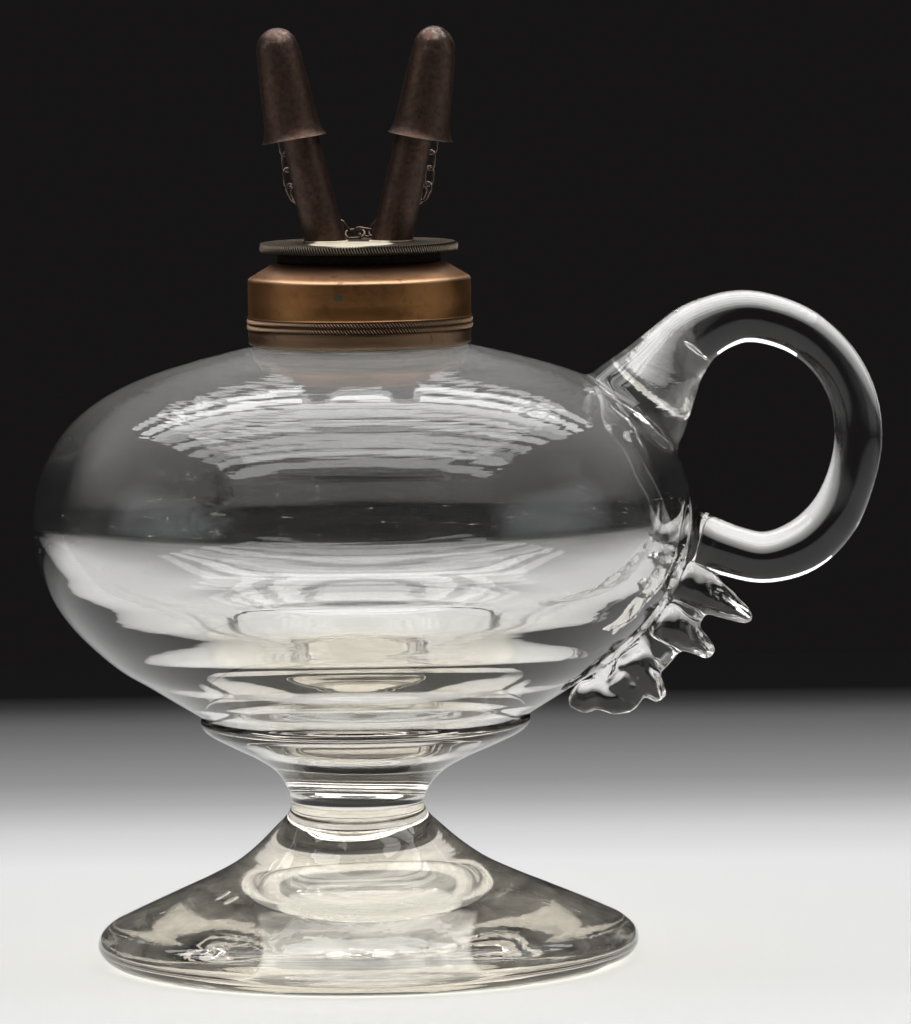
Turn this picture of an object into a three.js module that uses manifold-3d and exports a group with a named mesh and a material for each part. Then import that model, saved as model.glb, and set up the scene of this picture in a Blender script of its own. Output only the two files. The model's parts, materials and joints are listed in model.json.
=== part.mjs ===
// A glass finger lamp for burning fluid. A blown font stands on a flared stem and a drawn foot, with a
// looped handle whose crimped tail runs down the font. A brass screw collar holds the burner: a milled
// plate with two leaning wick tubes, each under a snuffer cap, and one fine chain that ties both caps.
// Millimetres, +Z up. The lamp stands on z = 0, the handle points along +X, the chain is on the +Y side.

import * as THREE from "three";
import { mergeVertices } from "three/addons/utils/BufferGeometryUtils.js";
import Module from "manifold-3d";

const wasm = await Module();
wasm.setup();

// Driving dimensions: clearances
const seatGap = 0.3; // between a piece and what it is seated on or fused to
const slideGap = 0.3; // between a piece and what it slides or turns in
const weldDistance = 0.0001; // vertices nearer than this are one vertex

// Driving dimensions: foot and stem
const footRadius = 38.7;
const footHeight = 21.9;
const footEdgeWidth = 2.5; // widest place of the foot to the flat ring that it stands on
const footRingWidth = 5.6;
const footHollowDepth = 3.6;
const waistRadius = 9.45; // where the foot is joined to the stem
const waistShift = 1.3; // the waist was drawn off centre, away from the handle
const stemHeight = 10.1; // waist to the underside of the font
const stemLipRadius = 23.5;
const stemLipEdge = 0.5; // drop of the lip's outer edge below its top

// Driving dimensions: font
const fontRadius = 46.9;
const fontHeight = 55.7; // underside to shoulder
const fontWall = 3.1; // at the widest place
const fontFloor = 8.5;
const fontShoulderWall = 2.6;
const neckHeight = 8.5;
const neckWall = 2.4;

// Driving dimensions: handle and tail
const handleReach = 27.1; // past the font's widest place
const handleBase = 24.7; // underside of the font to the lowest place of the rod's centre
const handleRise = 34.4; // lowest to highest place of the rod's centre
const handleRodRadius = 3.4;
const tailWidth = 10.4;
const tailEdgeRound = 0.7;

// Driving dimensions: collar, plaster and washer
const collarRadius = 15.83;
const collarSheet = 0.6;
const collarBandStep = 0.27; // how far the milled band at the collar's foot stands out
const collarBandHeight = 3.3;
const collarBevelHeight = 2.3;
const collarMouthWidth = 0.8; // of the flat ring round the mouth
const collarSleeveDepth = 6.6;
const collarSleeveSheet = 0.3;
const collarSleeveGap = 0.5; // between the sleeve and the neck's bore
const plasterWall = 0.83;
const plasterCover = 0.2; // over the top of the neck
const washerWidth = 1.8;
const washerThickness = 1.45;

// Driving dimensions: burner plate and screw
const plateRadius = 14.1;
const plateThickness = 1.35;
const plateChamfer = 0.25;
const screwNeckStep = 0.9; // the neck above the thread is this much slimmer than the thread's core
const screwWall = 0.6;
const screwLength = 6.2; // underside of the plate to the end of the thread
const threadPitch = 1.27;
const threadDepth = 0.5;

// Driving dimensions: wick tubes and wicks
const tubeLean = 13; // degrees
const tubeLength = 29.4; // above the plate
const tubeTail = 6.5; // below the top of the plate
const tubeFootRadius = 2.83;
const tubeTopRadius = 2.2;
const tubeWall = 0.4;
const wickDrop = 2.5; // top of the wick below the top of its tube
const wickInset = 0.3; // foot of the wick above the foot of its tube

// Driving dimensions: snuffer caps
const capLean = 9.7; // degrees: the cap hangs a little more upright than its tube
const capLength = 15.9;
const capHeadroom = 1.8; // top of the tube to the top of the cap
const capFit = 0.38; // between the tube's top and the cap round it
const capFlare = 1.76; // how much wider the rim is than the crown
const capWall = 0.35;

// Driving dimensions: chain. A link's length is a share of a tube's length above the plate, and the rest of
// the wirework is given as shares of a link's length.
const linkLengthShare = 0.10545;
const linkWidthShare = 0.645;
const wireShare = 0.116;
const linkPlayShare = 0.032; // between the wires of two links that hang in each other
const wireLoopShare = 0.29; // centre to centre of the wire in the staple and the cap eyes
const linkRoll = 45; // degrees: one link is rolled this way about its long axis, the next one that way
const heapLinks = 10; // links on each side that stand in a slanting heap
const heapLean = 25; // degrees
const hangLinks = 4; // links on each side that hang straight from a cap
const hangLean = 5; // degrees
const chainGap = 0.2; // between a cap's rim and the chain that hangs behind it
const eyeTurn = 14.5; // degrees outwards from the back of the cap to its eye
const eyeHeight = 2.2; // above the cap's rim

// Facets
const glassFacets = 48;
const brassFacets = 48;
const tubeFacets = 20;
const rodFacets = 12;
const wireFacets = 5;
const fontSteps = 18;
const fontInnerSteps = 10;
const stemSteps = 9;
const footSteps = 14;
const handleSteps = 36;
const crownSteps = 5;
const bowSteps = 4;
const archSteps = 6;
const rowsPerPitch = 4;

// Radii worked out from the sizes
const skirtBoreRadius = collarRadius - collarSheet;
const neckRadius = skirtBoreRadius - plasterWall;
const neckBoreRadius = neckRadius - neckWall;
const sleeveRadius = neckBoreRadius - collarSleeveGap;
const collarBoreRadius = sleeveRadius - collarSleeveSheet;
const threadCoreRadius = collarBoreRadius - slideGap - threadDepth;
const screwNeckRadius = threadCoreRadius - screwNeckStep;
const capCrownRadius = tubeTopRadius + capFit + capWall;
const capRimRadius = capCrownRadius + capFlare;

// Heights worked out from the sizes
const fontSeatZ = footHeight + stemHeight;
const shoulderZ = fontSeatZ + fontHeight;
const neckTopZ = shoulderZ + neckHeight;
const plasterTopZ = neckTopZ + plasterCover;
const collarZ = shoulderZ + seatGap;
const bevelZ = plasterTopZ + 1.5 * collarSheet;
const mouthZ = bevelZ + collarBevelHeight;
const plateZ = mouthZ + washerThickness;
const plateTopZ = plateZ + plateThickness;

const axisY = new THREE.Vector3(0, 1, 0);
const radians = THREE.MathUtils.degToRad;

// Wirework worked out from the tube's length
const linkLength = linkLengthShare * tubeLength;
const linkWidth = linkWidthShare * linkLength;
const wireDiameter = wireShare * linkLength;
const linkPlay = linkPlayShare * linkLength;
const wireLoopWidth = wireLoopShare * linkLength;

// Materials
function finish(color, roughness, metalness, extra = {}) {
  return new THREE.MeshStandardMaterial({ color, roughness, metalness, ...extra });
}
const glass = finish(0xe4e6e2, 0.05, 0, { transparent: true, opacity: 0.4 });
const plaster = finish(0xcfc6b4, 0.9, 0);
const collarBrass = finish(0x8a6442, 0.4, 1);
const plateBrass = finish(0x86806f, 0.35, 1);
const tubeBrass = finish(0x4b3a31, 0.45, 1);
const capBrass = finish(0x54463e, 0.45, 1);
const chainBrass = finish(0x5c4636, 0.4, 1);
const leather = finish(0x2c1d15, 0.85, 0);
const cotton = finish(0xb9ab90, 0.95, 0);

// A geometry as a solid for joining and cutting
function toSolid(geometry) {
  const bare = geometry.index ? geometry.toNonIndexed() : geometry.clone();
  bare.deleteAttribute("normal");
  bare.deleteAttribute("uv");
  const merged = mergeVertices(bare, weldDistance);
  return new wasm.Manifold(
    new wasm.Mesh({
      numProp: 3,
      vertProperties: merged.attributes.position.array,
      triVerts: new Uint32Array(merged.index.array),
    }),
  );
}

function toGeometry(solid) {
  const mesh = solid.getMesh();
  const geometry = new THREE.BufferGeometry();
  geometry.setAttribute("position", new THREE.BufferAttribute(mesh.vertProperties, mesh.numProp));
  geometry.setIndex(new THREE.BufferAttribute(mesh.triVerts, 1));
  geometry.computeVertexNormals();
  return geometry;
}

function cutAway(geometry, ...tools) {
  return toGeometry(tools.reduce((left, tool) => left.subtract(toSolid(tool)), toSolid(geometry)));
}

// A turned piece. Its profile holds [radius, height] points, and starts and ends on the axis or is closed.
function turned(profile, facets) {
  const points = profile.map(([radius, height]) => new THREE.Vector2(radius, height));
  if (THREE.ShapeUtils.isClockWise(points)) points.reverse();
  if (points[0].x > 0) points.push(points[0].clone());
  return new THREE.LatheGeometry(points, facets).rotateX(Math.PI / 2);
}

// A smooth outline through points given as shares of the way from one corner to another
function smoothOutline(shares, [lowRadius, lowZ], [highRadius, highZ], steps) {
  const { lerp } = THREE.MathUtils;
  const points = shares.map(
    ([x, z]) => new THREE.Vector2(lerp(lowRadius, highRadius, x), lerp(lowZ, highZ, z)),
  );
  return new THREE.SplineCurve(points).getPoints(steps).map((point) => [point.x, point.y]);
}

// An outline moved outwards by a gap, for what is seated against it
function offsetOutline(outline, gap) {
  return outline.map(([radius, height], i) => {
    const before = outline[Math.max(i - 1, 0)];
    const after = outline[Math.min(i + 1, outline.length - 1)];
    const along = new THREE.Vector2(after[0] - before[0], after[1] - before[1]).normalize();
    return [radius + along.y * gap, height - along.x * gap];
  });
}

// A round bar along a flat path, whose radius may change on the way; a closed path makes a ring
function barAlong(path, radiusAt, facets, planeNormal, closed = false) {
  const positions = [];
  const indices = [];
  const last = path.length - 1;
  path.forEach((point, i) => {
    const before = path[closed ? (i + last) % path.length : Math.max(i - 1, 0)];
    const after = path[closed ? (i + 1) % path.length : Math.min(i + 1, last)];
    const along = after.clone().sub(before).normalize();
    const outward = new THREE.Vector3().crossVectors(along, planeNormal);
    for (let j = 0; j < facets; j += 1) {
      const angle = (2 * Math.PI * j) / facets;
      const rim = point.clone();
      rim.addScaledVector(outward, radiusAt(i) * Math.cos(angle));
      rim.addScaledVector(planeNormal, radiusAt(i) * Math.sin(angle));
      positions.push(rim.x, rim.y, rim.z);
    }
  });
  const rings = closed ? path.length : last;
  for (let i = 0; i < rings; i += 1) {
    for (let j = 0; j < facets; j += 1) {
      const a = i * facets + j;
      const b = i * facets + ((j + 1) % facets);
      const c = ((i + 1) % path.length) * facets + j;
      const d = ((i + 1) % path.length) * facets + ((j + 1) % facets);
      indices.push(a, c, b, b, c, d);
    }
  }
  if (!closed) {
    for (let j = 1; j < facets - 1; j += 1) {
      indices.push(0, j, j + 1);
      indices.push(last * facets, last * facets + j + 1, last * facets + j);
    }
  }
  const geometry = new THREE.BufferGeometry();
  geometry.setAttribute("position", new THREE.Float32BufferAttribute(positions, 3));
  geometry.setIndex(indices);
  return geometry;
}

// The waist's shift fades out towards the floor and the font
function shiftWaist(geometry) {
  const position = geometry.attributes.position;
  for (let i = 0; i < position.count; i += 1) {
    const z = position.getZ(i);
    const reach = z < footHeight ? z / footHeight : (fontSeatZ - z) / stemHeight;
    const share = THREE.MathUtils.smoothstep(reach, 0, 1);
    position.setX(i, position.getX(i) - waistShift * share);
  }
  return geometry;
}

// Foot: a drawn glass cone on a flat ring, slightly hollow underneath
const footSideShares = [
  [0, 1],
  [0.087, 0.863],
  [0.296, 0.635],
  [0.614, 0.434],
  [0.901, 0.265],
  [0.99, 0.16],
  [1, 0.1],
  [0.98, 0.045],
];
const footHollowShares = [
  [1, 0],
  [0.9, 0.3],
  [0.6, 0.75],
  [0.25, 0.97],
  [0, 1],
];
function makeFoot() {
  const side = smoothOutline(footSideShares, [waistRadius, 0], [footRadius, footHeight], footSteps);
  const ringRadius = footRadius - footEdgeWidth;
  const hollowRadius = ringRadius - footRingWidth;
  const hollow = footHollowShares.map(([x, z]) => [x * hollowRadius, z * footHollowDepth]);
  return shiftWaist(turned([[0, footHeight], ...side, [ringRadius, 0], ...hollow], glassFacets));
}

// Font: the underside, side and shoulder as one outline, from the middle of the underside to the neck
const fontOutlineShares = [
  [0.256, 0],
  [0.469, 0.041],
  [0.742, 0.181],
  [0.93, 0.341],
  [1, 0.551],
  [0.957, 0.711],
  [0.821, 0.851],
  [0.625, 0.928],
  [0.341, 1],
];
const fontOutline = smoothOutline(fontOutlineShares, [0, fontSeatZ], [fontRadius, shoulderZ], fontSteps);
const fontClearance = [[0, fontSeatZ - seatGap], ...offsetOutline(fontOutline, seatGap)];
function fontEnvelope() {
  return turned([...fontClearance, [0, shoulderZ + seatGap]], glassFacets);
}
function makeFont() {
  const floorZ = fontSeatZ + fontFloor;
  const innerTop = [fontRadius - fontWall, shoulderZ - fontShoulderWall];
  const inner = smoothOutline(fontOutlineShares, [0, floorZ], innerTop, fontInnerSteps);
  const neck = [[neckRadius, shoulderZ], [neckRadius, neckTopZ], [neckBoreRadius, neckTopZ]];
  const throat = [neckBoreRadius, shoulderZ - fontShoulderWall / 2];
  return turned(
    [[0, fontSeatZ], ...fontOutline, ...neck, throat, ...inner.reverse(), [0, floorZ]],
    glassFacets,
  );
}

// Stem: flares from the waist to a lip that cups the font, as high as the font is that wide
const stemSideShares = [
  [0, 0],
  [0.021, 0.16],
  [0.097, 0.31],
  [0.264, 0.47],
  [0.68, 0.73],
  [0.957, 0.89],
];
function makeStem() {
  const lipTopRadius = stemLipRadius - stemLipEdge;
  const cup = fontClearance.slice(0, fontClearance.findIndex(([radius]) => radius >= lipTopRadius));
  const [[lowRadius, lowZ], [highRadius, highZ]] = fontClearance.slice(cup.length - 1);
  const lipZ = THREE.MathUtils.mapLinear(lipTopRadius, lowRadius, highRadius, lowZ, highZ);
  const side = smoothOutline(stemSideShares, [waistRadius, footHeight], [stemLipRadius, lipZ], stemSteps);
  const lip = [[stemLipRadius, lipZ - stemLipEdge], [lipTopRadius, lipZ]];
  return shiftWaist(turned([[0, footHeight], ...side, ...lip, ...cup.reverse()], glassFacets));
}

// Handle: a round rod that leaves the shoulder thick, loops over and comes back to the font's side.
// Each entry is the centre's place past the font's side, its height, and the rod's thickness, as shares.
const handleShares = [
  [-0.4, 0.49, 2.5],
  [-0.24, 0.66, 2.1],
  [-0.09, 0.846, 1.52],
  [0.07, 0.95, 1.25],
  [0.277, 1, 1.09],
  [0.559, 0.942, 1.01],
  [0.8, 0.747, 0.97],
  [0.875, 0.536, 1],
  [0.838, 0.334, 1.03],
  [0.742, 0.166, 1.1],
  [0.59, 0.052, 1.14],
  [0.358, 0, 1.06],
  [0.181, 0.044, 1.1],
  [0.03, 0.07, 1.13],
  [-0.12, 0.08, 1.15],
];
function handleRod(gap) {
  const places = handleShares.map(
    ([out, up]) =>
      new THREE.Vector3(fontRadius + out * handleReach, 0, fontSeatZ + handleBase + up * handleRise),
  );
  const swell = handleShares.map(([, , share], i) => new THREE.Vector2(i, share));
  const path = new THREE.CatmullRomCurve3(places, false, "catmullrom").getPoints(handleSteps);
  const thickness = new THREE.SplineCurve(swell).getPoints(handleSteps);
  return barAlong(path, (i) => thickness[i].y * handleRodRadius + gap, rodFacets, axisY);
}
function makeHandle() {
  return cutAway(handleRod(0), fontEnvelope());
}

// Tail: the drawn-out end of the handle, pinched into three teeth and a curl, down the font's side.
// Each entry is a corner of its side view as shares of the font's radius and height.
const tailShares = [
  [0.9, 0.5],
  [1.04, 0.48],
  [1.09, 0.44],
  [1.092, 0.405],
  [1.081, 0.385],
  [1.135, 0.335],
  [1.178, 0.3],
  [1.172, 0.278],
  [1.149, 0.269],
  [1.07, 0.286],
  [0.998, 0.302],
  [1.03, 0.26],
  [1.054, 0.216],
  [1.046, 0.195],
  [1.026, 0.19],
  [0.97, 0.215],
  [0.921, 0.228],
  [0.866, 0.169],
  [0.899, 0.14],
  [0.898, 0.1],
  [0.87, 0.072],
  [0.842, 0.081],
  [0.823, 0.09],
  [0.785, 0.063],
  [0.748, 0.068],
  [0.712, 0.054],
  [0.665, 0.052],
  [0.618, 0.077],
  [0.6, 0.11],
  [0.6, 0.2],
];
function makeTail() {
  const corners = tailShares.map(
    ([x, z]) => new THREE.Vector2(x * fontRadius, fontSeatZ + z * fontHeight),
  );
  const depth = tailWidth - 2 * tailEdgeRound;
  const blank = new THREE.ExtrudeGeometry(new THREE.Shape(corners), {
    depth,
    bevelThickness: tailEdgeRound,
    bevelSize: tailEdgeRound,
    bevelOffset: -tailEdgeRound,
    bevelSegments: 2,
  });
  blank.rotateX(Math.PI / 2).translate(0, depth / 2, 0);
  return cutAway(blank, fontEnvelope(), handleRod(seatGap));
}

// Plaster that sets the collar on the neck
function makePlaster() {
  return turned(
    [
      [neckRadius, shoulderZ],
      [skirtBoreRadius, shoulderZ],
      [skirtBoreRadius, plasterTopZ],
      [neckBoreRadius, plasterTopZ],
      [neckBoreRadius, neckTopZ],
      [neckRadius, neckTopZ],
    ],
    brassFacets,
  );
}

// Collar: skirt with a milled band, bevelled shoulder, flat mouth and the threaded sleeve inside
function makeCollar() {
  const bandRadius = collarRadius + collarBandStep;
  const bandZ = collarZ + collarBandHeight;
  const sleeveZ = mouthZ - collarSleeveDepth;
  return turned(
    [
      [collarRadius, collarZ],
      [bandRadius, collarZ + collarBandStep],
      [bandRadius, bandZ - collarBandStep],
      [collarRadius, bandZ],
      [collarRadius, bevelZ],
      [collarBoreRadius + collarMouthWidth, mouthZ],
      [collarBoreRadius, mouthZ],
      [collarBoreRadius, sleeveZ],
      [sleeveRadius, sleeveZ],
      [sleeveRadius, mouthZ - collarSheet],
      [skirtBoreRadius, bevelZ - collarSheet / 2],
      [skirtBoreRadius, collarZ],
    ],
    brassFacets,
  );
}

// Washer that the burner is screwed down on
function makeWasher() {
  const bore = screwNeckRadius + slideGap;
  const rim = bore + washerWidth;
  return turned([[bore, mouthZ], [rim, mouthZ], [rim, plateZ], [bore, plateZ]], brassFacets);
}

// A tube's own axis runs up +Z from the top of the plate; side is 1 for the right tube, -1 for the left.
// Under the plate the two tubes come as near to each other as the gap allows.
const leanSine = Math.sin(radians(tubeLean));
const tubeSpread = tubeTail * leanSine + tubeFootRadius / Math.cos(radians(tubeLean)) + seatGap;
function tubeRadiusAt(height) {
  return THREE.MathUtils.lerp(tubeFootRadius, tubeTopRadius, Math.max(height, 0) / tubeLength);
}
function leaned(object, side, degrees) {
  object.rotation.y = side * radians(degrees);
  return object;
}

// Plate with the holes that the tubes are set through
function makePlate() {
  const edge = plateRadius - plateChamfer;
  const disc = turned(
    [
      [0, plateZ],
      [edge, plateZ],
      [plateRadius, plateZ + plateChamfer],
      [plateRadius, plateTopZ - plateChamfer],
      [edge, plateTopZ],
      [0, plateTopZ],
    ],
    brassFacets,
  );
  const holes = [-1, 1].map((side) => {
    const hole = new THREE.CylinderGeometry(
      tubeFootRadius + seatGap,
      tubeFootRadius + seatGap,
      4 * plateThickness,
      tubeFacets,
    ).rotateX(Math.PI / 2);
    hole.rotateY(side * radians(tubeLean));
    return hole.translate(side * tubeSpread, 0, plateTopZ);
  });
  return cutAway(disc, ...holes);
}

// Screw: a short brass sleeve under the plate, with a right-hand thread that fades out at both ends
function makeScrew() {
  const endZ = plateZ - screwLength;
  const shoulderTopZ = mouthZ - seatGap;
  const boreRadius = screwNeckRadius - screwWall;
  const turns = (shoulderTopZ - endZ) / threadPitch;
  const threadRows = Math.round(turns * rowsPerPitch);
  const rows = [];
  for (let k = 0; k <= threadRows; k += 1) {
    rows.push([threadCoreRadius, THREE.MathUtils.lerp(endZ, shoulderTopZ, k / threadRows), true]);
  }
  rows.push([screwNeckRadius, shoulderTopZ], [screwNeckRadius, plateZ], [boreRadius, plateZ]);
  rows.push([boreRadius, endZ]);
  const positions = [];
  const indices = [];
  rows.forEach(([radius, z, threaded]) => {
    for (let j = 0; j < brassFacets; j += 1) {
      const turn = j / brassFacets;
      const phase = (z - endZ) / threadPitch - turn;
      const crest = 0.5 + 0.5 * Math.cos(2 * Math.PI * phase);
      const fade = Math.min(z - endZ, shoulderTopZ - z) / threadPitch;
      const swell = threaded ? threadDepth * crest * THREE.MathUtils.clamp(2 * fade, 0, 1) : 0;
      const angle = 2 * Math.PI * turn;
      positions.push((radius + swell) * Math.cos(angle), (radius + swell) * Math.sin(angle), z);
    }
  });
  for (let k = 0; k < rows.length; k += 1) {
    for (let j = 0; j < brassFacets; j += 1) {
      const next = (k + 1) % rows.length;
      const a = k * brassFacets + j;
      const b = k * brassFacets + ((j + 1) % brassFacets);
      const c = next * brassFacets + j;
      const d = next * brassFacets + ((j + 1) % brassFacets);
      indices.push(a, b, c, b, d, c);
    }
  }
  const geometry = new THREE.BufferGeometry();
  geometry.setAttribute("position", new THREE.Float32BufferAttribute(positions, 3));
  geometry.setIndex(indices);
  return geometry;
}

// Wick tube and wick, along their own axis
function makeTube() {
  const bore = (height) => tubeRadiusAt(height) - tubeWall;
  return turned(
    [
      [tubeFootRadius, -tubeTail],
      [tubeFootRadius, 0],
      [tubeTopRadius, tubeLength],
      [bore(tubeLength), tubeLength],
      [bore(0), 0],
      [bore(0), -tubeTail],
    ],
    tubeFacets,
  );
}
function makeWick() {
  const radius = tubeTopRadius - tubeWall - slideGap;
  const foot = wickInset - tubeTail;
  const top = tubeLength - wickDrop;
  return turned([[0, foot], [radius, foot], [radius, top], [0, top]], tubeFacets / 2);
}

// Snuffer cap, from its rim up along its own axis: a flared skirt, given as shares of the flare and of
// the cap's length, under a round crown
const capSkirtShares = [
  [1, 0],
  [0.625, 0.085],
  [0.4, 0.37],
  [0, 0.816],
];
const capSkirt = capSkirtShares.map(([x, z]) => [capCrownRadius + x * capFlare, z * capLength]);
function capRadiusAt(height) {
  const above = Math.max(capSkirt.findIndex(([, z]) => z > height), 1);
  const [[lowRadius, lowZ], [highRadius, highZ]] = capSkirt.slice(above - 1);
  return THREE.MathUtils.mapLinear(height, lowZ, highZ, lowRadius, highRadius);
}
function makeCap() {
  const outside = [...capSkirt];
  const crownZ = capSkirt[capSkirt.length - 1][1];
  for (let i = 1; i <= crownSteps; i += 1) {
    const angle = ((Math.PI / 2) * i) / crownSteps;
    const rise = (capLength - crownZ) * Math.sin(angle);
    outside.push([capCrownRadius * Math.cos(angle), crownZ + rise]);
  }
  const inside = offsetOutline(outside, -capWall);
  inside[0] = [capRimRadius - capWall, 0];
  inside[inside.length - 1] = [0, capLength - capWall];
  return turned([...outside, ...inside.reverse()], tubeFacets);
}

// Chain link: long axis along Z, flat in the XZ plane
const linkBowRadius = (linkWidth - wireDiameter) / 2;
const linkStraight = (linkLength - linkWidth) / 2;
function makeLink() {
  const path = [];
  [1, -1].forEach((end) => {
    for (let i = 0; i <= bowSteps; i += 1) {
      const angle = (Math.PI * i) / bowSteps;
      path.push(
        new THREE.Vector3(
          end * linkBowRadius * Math.cos(angle),
          0,
          end * (linkStraight + linkBowRadius * Math.sin(angle)),
        ),
      );
    }
  });
  return barAlong(path, () => wireDiameter / 2, wireFacets, axisY, true);
}

// A bent wire loop: feet on z = 0, arch upwards to the reach, flat in the XZ plane
function makeWireLoop(reach) {
  const radius = wireLoopWidth / 2;
  const path = [new THREE.Vector3(radius, 0, 0)];
  for (let i = 0; i <= archSteps; i += 1) {
    const angle = (Math.PI * i) / archSteps;
    path.push(new THREE.Vector3(radius * Math.cos(angle), 0, reach - radius + radius * Math.sin(angle)));
  }
  path.push(new THREE.Vector3(-radius, 0, 0));
  return barAlong(path, () => wireDiameter / 2, wireFacets, axisY);
}

// Puts a node into the lamp
const lamp = new THREE.Group();
function add(parent, name, geometry, material) {
  const mesh = new THREE.Mesh(geometry, material);
  mesh.name = name;
  parent.add(mesh);
  return mesh;
}

add(lamp, "foot", makeFoot(), glass);
add(lamp, "stem", makeStem(), glass);
add(lamp, "font", makeFont(), glass);
add(lamp, "handle", makeHandle(), glass);
add(lamp, "crimped_tail", makeTail(), glass);
add(lamp, "plaster_bed", makePlaster(), plaster);
add(lamp, "screw_collar", makeCollar(), collarBrass);
add(lamp, "leather_washer", makeWasher(), leather);
add(lamp, "burner_plate", makePlate(), plateBrass);
add(lamp, "burner_screw", makeScrew(), plateBrass);

// Tubes, wicks, caps and eyes: the same on both sides, leaning outwards
const sides = [
  ["left", -1],
  ["right", 1],
];
function leanedAxis(side, degrees) {
  return new THREE.Vector3(side * Math.sin(radians(degrees)), 0, Math.cos(radians(degrees)));
}
function tubeTop(side) {
  const base = new THREE.Vector3(side * tubeSpread, 0, plateTopZ);
  return base.addScaledVector(leanedAxis(side, tubeLean), tubeLength);
}
function capRim(side) {
  return tubeTop(side).addScaledVector(leanedAxis(side, capLean), capHeadroom - capLength);
}
sides.forEach(([hand, side]) => {
  const wickTube = leaned(new THREE.Group(), side, tubeLean);
  wickTube.position.set(side * tubeSpread, 0, plateTopZ);
  add(wickTube, `${hand}_wick_tube`, makeTube(), tubeBrass);
  add(wickTube, `${hand}_wick`, makeWick(), cotton);
  lamp.add(wickTube);
  const cap = leaned(new THREE.Group(), side, capLean);
  cap.position.copy(capRim(side));
  add(cap, `${hand}_snuffer_cap`, makeCap(), capBrass);
  lamp.add(cap);
});

// Chain: it hangs behind the caps' rims, and each link is given by its centre, long axis and roll about it
const chainBack = (capRimRadius + chainGap + linkWidth / 2) * Math.cos(radians(eyeTurn));
const hangPitch = linkLength - 2 * wireDiameter - linkPlay;
const linkHold = linkLength / 2 - 1.5 * wireDiameter - linkPlay; // where a wire lies in a link's bow
function addLink(name, out, up, longAxis, roll) {
  const normal = new THREE.Vector3(longAxis.z, Math.tan(radians(roll)), -longAxis.x).normalize();
  const across = new THREE.Vector3().crossVectors(normal, longAxis);
  const link = add(lamp, name, makeLink(), chainBrass);
  link.position.set(out, chainBack, plateTopZ + up);
  link.quaternion.setFromRotationMatrix(new THREE.Matrix4().makeBasis(across, normal, longAxis));
}

// Places on the plate, in shares of a link's length: out from the lamp's axis, and up
const leftMiddleShares = [-0.206, 0.274];
const rightMiddleShares = [0.226, 0.339];
const bendShares = [0.758, 0.542];
const heapStartShares = [1.026, 0.739];
const inLinks = (shares) => shares.map((share) => share * linkLength);

// The two links between the tubes lie along the plate, and a staple in the plate holds the left one.
// The staple is placed by shares of a link's length too: out, in front of the chain's plane, and its height.
const leftMiddleLean = 87.3; // degrees
const rightMiddleLean = 100.9; // degrees
const stapleShares = [0.032, 0.181, 0.306];
addLink("middle_link_left", ...inLinks(leftMiddleShares), leanedAxis(1, leftMiddleLean), linkRoll);
addLink("middle_link_right", ...inLinks(rightMiddleShares), leanedAxis(1, rightMiddleLean), -linkRoll);
const [stapleOut, stapleInset, stapleHeight] = inLinks(stapleShares);
const staple = add(lamp, "chain_staple", makeWireLoop(stapleHeight), chainBrass);
staple.position.set(stapleOut, chainBack - stapleInset, plateTopZ);
staple.rotation.z = Math.PI / 2;

// One side's run as [out, up, lean]: the bend, the slanting heap, and the links that hang from the hold in
// the cap's eye. The hold is given as a distance out and up.
const bendLean = 36; // degrees
function runPlaces(holdOut, holdUp) {
  const [startOut, startUp] = inLinks(heapStartShares);
  const hang = leanedAxis(1, hangLean);
  const heapEnd = leanedAxis(1, heapLean).multiplyScalar(hangPitch / 2);
  const hangLength = linkHold + (hangLinks - 0.5) * hangPitch;
  const pitchOut = (holdOut - hangLength * hang.x - heapEnd.x - startOut) / (heapLinks - 1);
  const pitchUp = (holdUp - hangLength * hang.z - heapEnd.z - startUp) / (heapLinks - 1);
  const places = [[...inLinks(bendShares), bendLean]];
  for (let k = 0; k < heapLinks; k += 1) {
    places.push([startOut + k * pitchOut, startUp + k * pitchUp, heapLean]);
  }
  for (let k = hangLinks - 1; k >= 0; k -= 1) {
    const below = linkHold + k * hangPitch;
    places.push([holdOut - below * hang.x, holdUp - below * hang.z, hangLean]);
  }
  return places;
}

// An eye on the back of each cap is a wire loop that reaches out into the bow of the run's last link
sides.forEach(([hand, side]) => {
  const up = leanedAxis(side, capLean);
  const turn = radians(eyeTurn);
  const outward = leanedAxis(side, capLean + 90).multiplyScalar(Math.sin(turn));
  outward.addScaledVector(axisY, Math.cos(turn));
  const holdRadius = chainBack / Math.cos(turn);
  const hold = capRim(side).addScaledVector(up, eyeHeight).addScaledVector(outward, holdRadius);
  const reach = holdRadius - capRadiusAt(eyeHeight) - seatGap;

  const eye = add(lamp, `${hand}_cap_eye`, makeWireLoop(reach), capBrass);
  const flat = new THREE.Vector3().crossVectors(up, outward);
  eye.position.copy(hold).addScaledVector(outward, -reach);
  eye.quaternion.setFromRotationMatrix(new THREE.Matrix4().makeBasis(flat, up, outward));

  // The last link stands square to the eye, and the one below it is rolled between its two neighbours
  const places = runPlaces(side * hold.x, hold.z - plateTopZ);
  const last = places.length - 1;
  const rolls = places.map((place, k) => (k % 2 === 0 ? linkRoll : -linkRoll));
  rolls[last] = -side * eyeTurn;
  rolls[last - 1] = (rolls[last - 2] + rolls[last]) / 2 - 90;
  places.forEach(([out, raise, lean], k) => {
    const name = `${hand}_link_${String(k).padStart(2, "0")}`;
    addLink(name, side * out, raise, leanedAxis(side, lean), rolls[k]);
  });
});

// The origin is under the middle of everything
const bounds = new THREE.Box3().setFromObject(lamp, true);
const middle = bounds.getCenter(new THREE.Vector3());
lamp.position.set(-middle.x, -middle.y, -bounds.min.z);

export default lamp;
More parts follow.
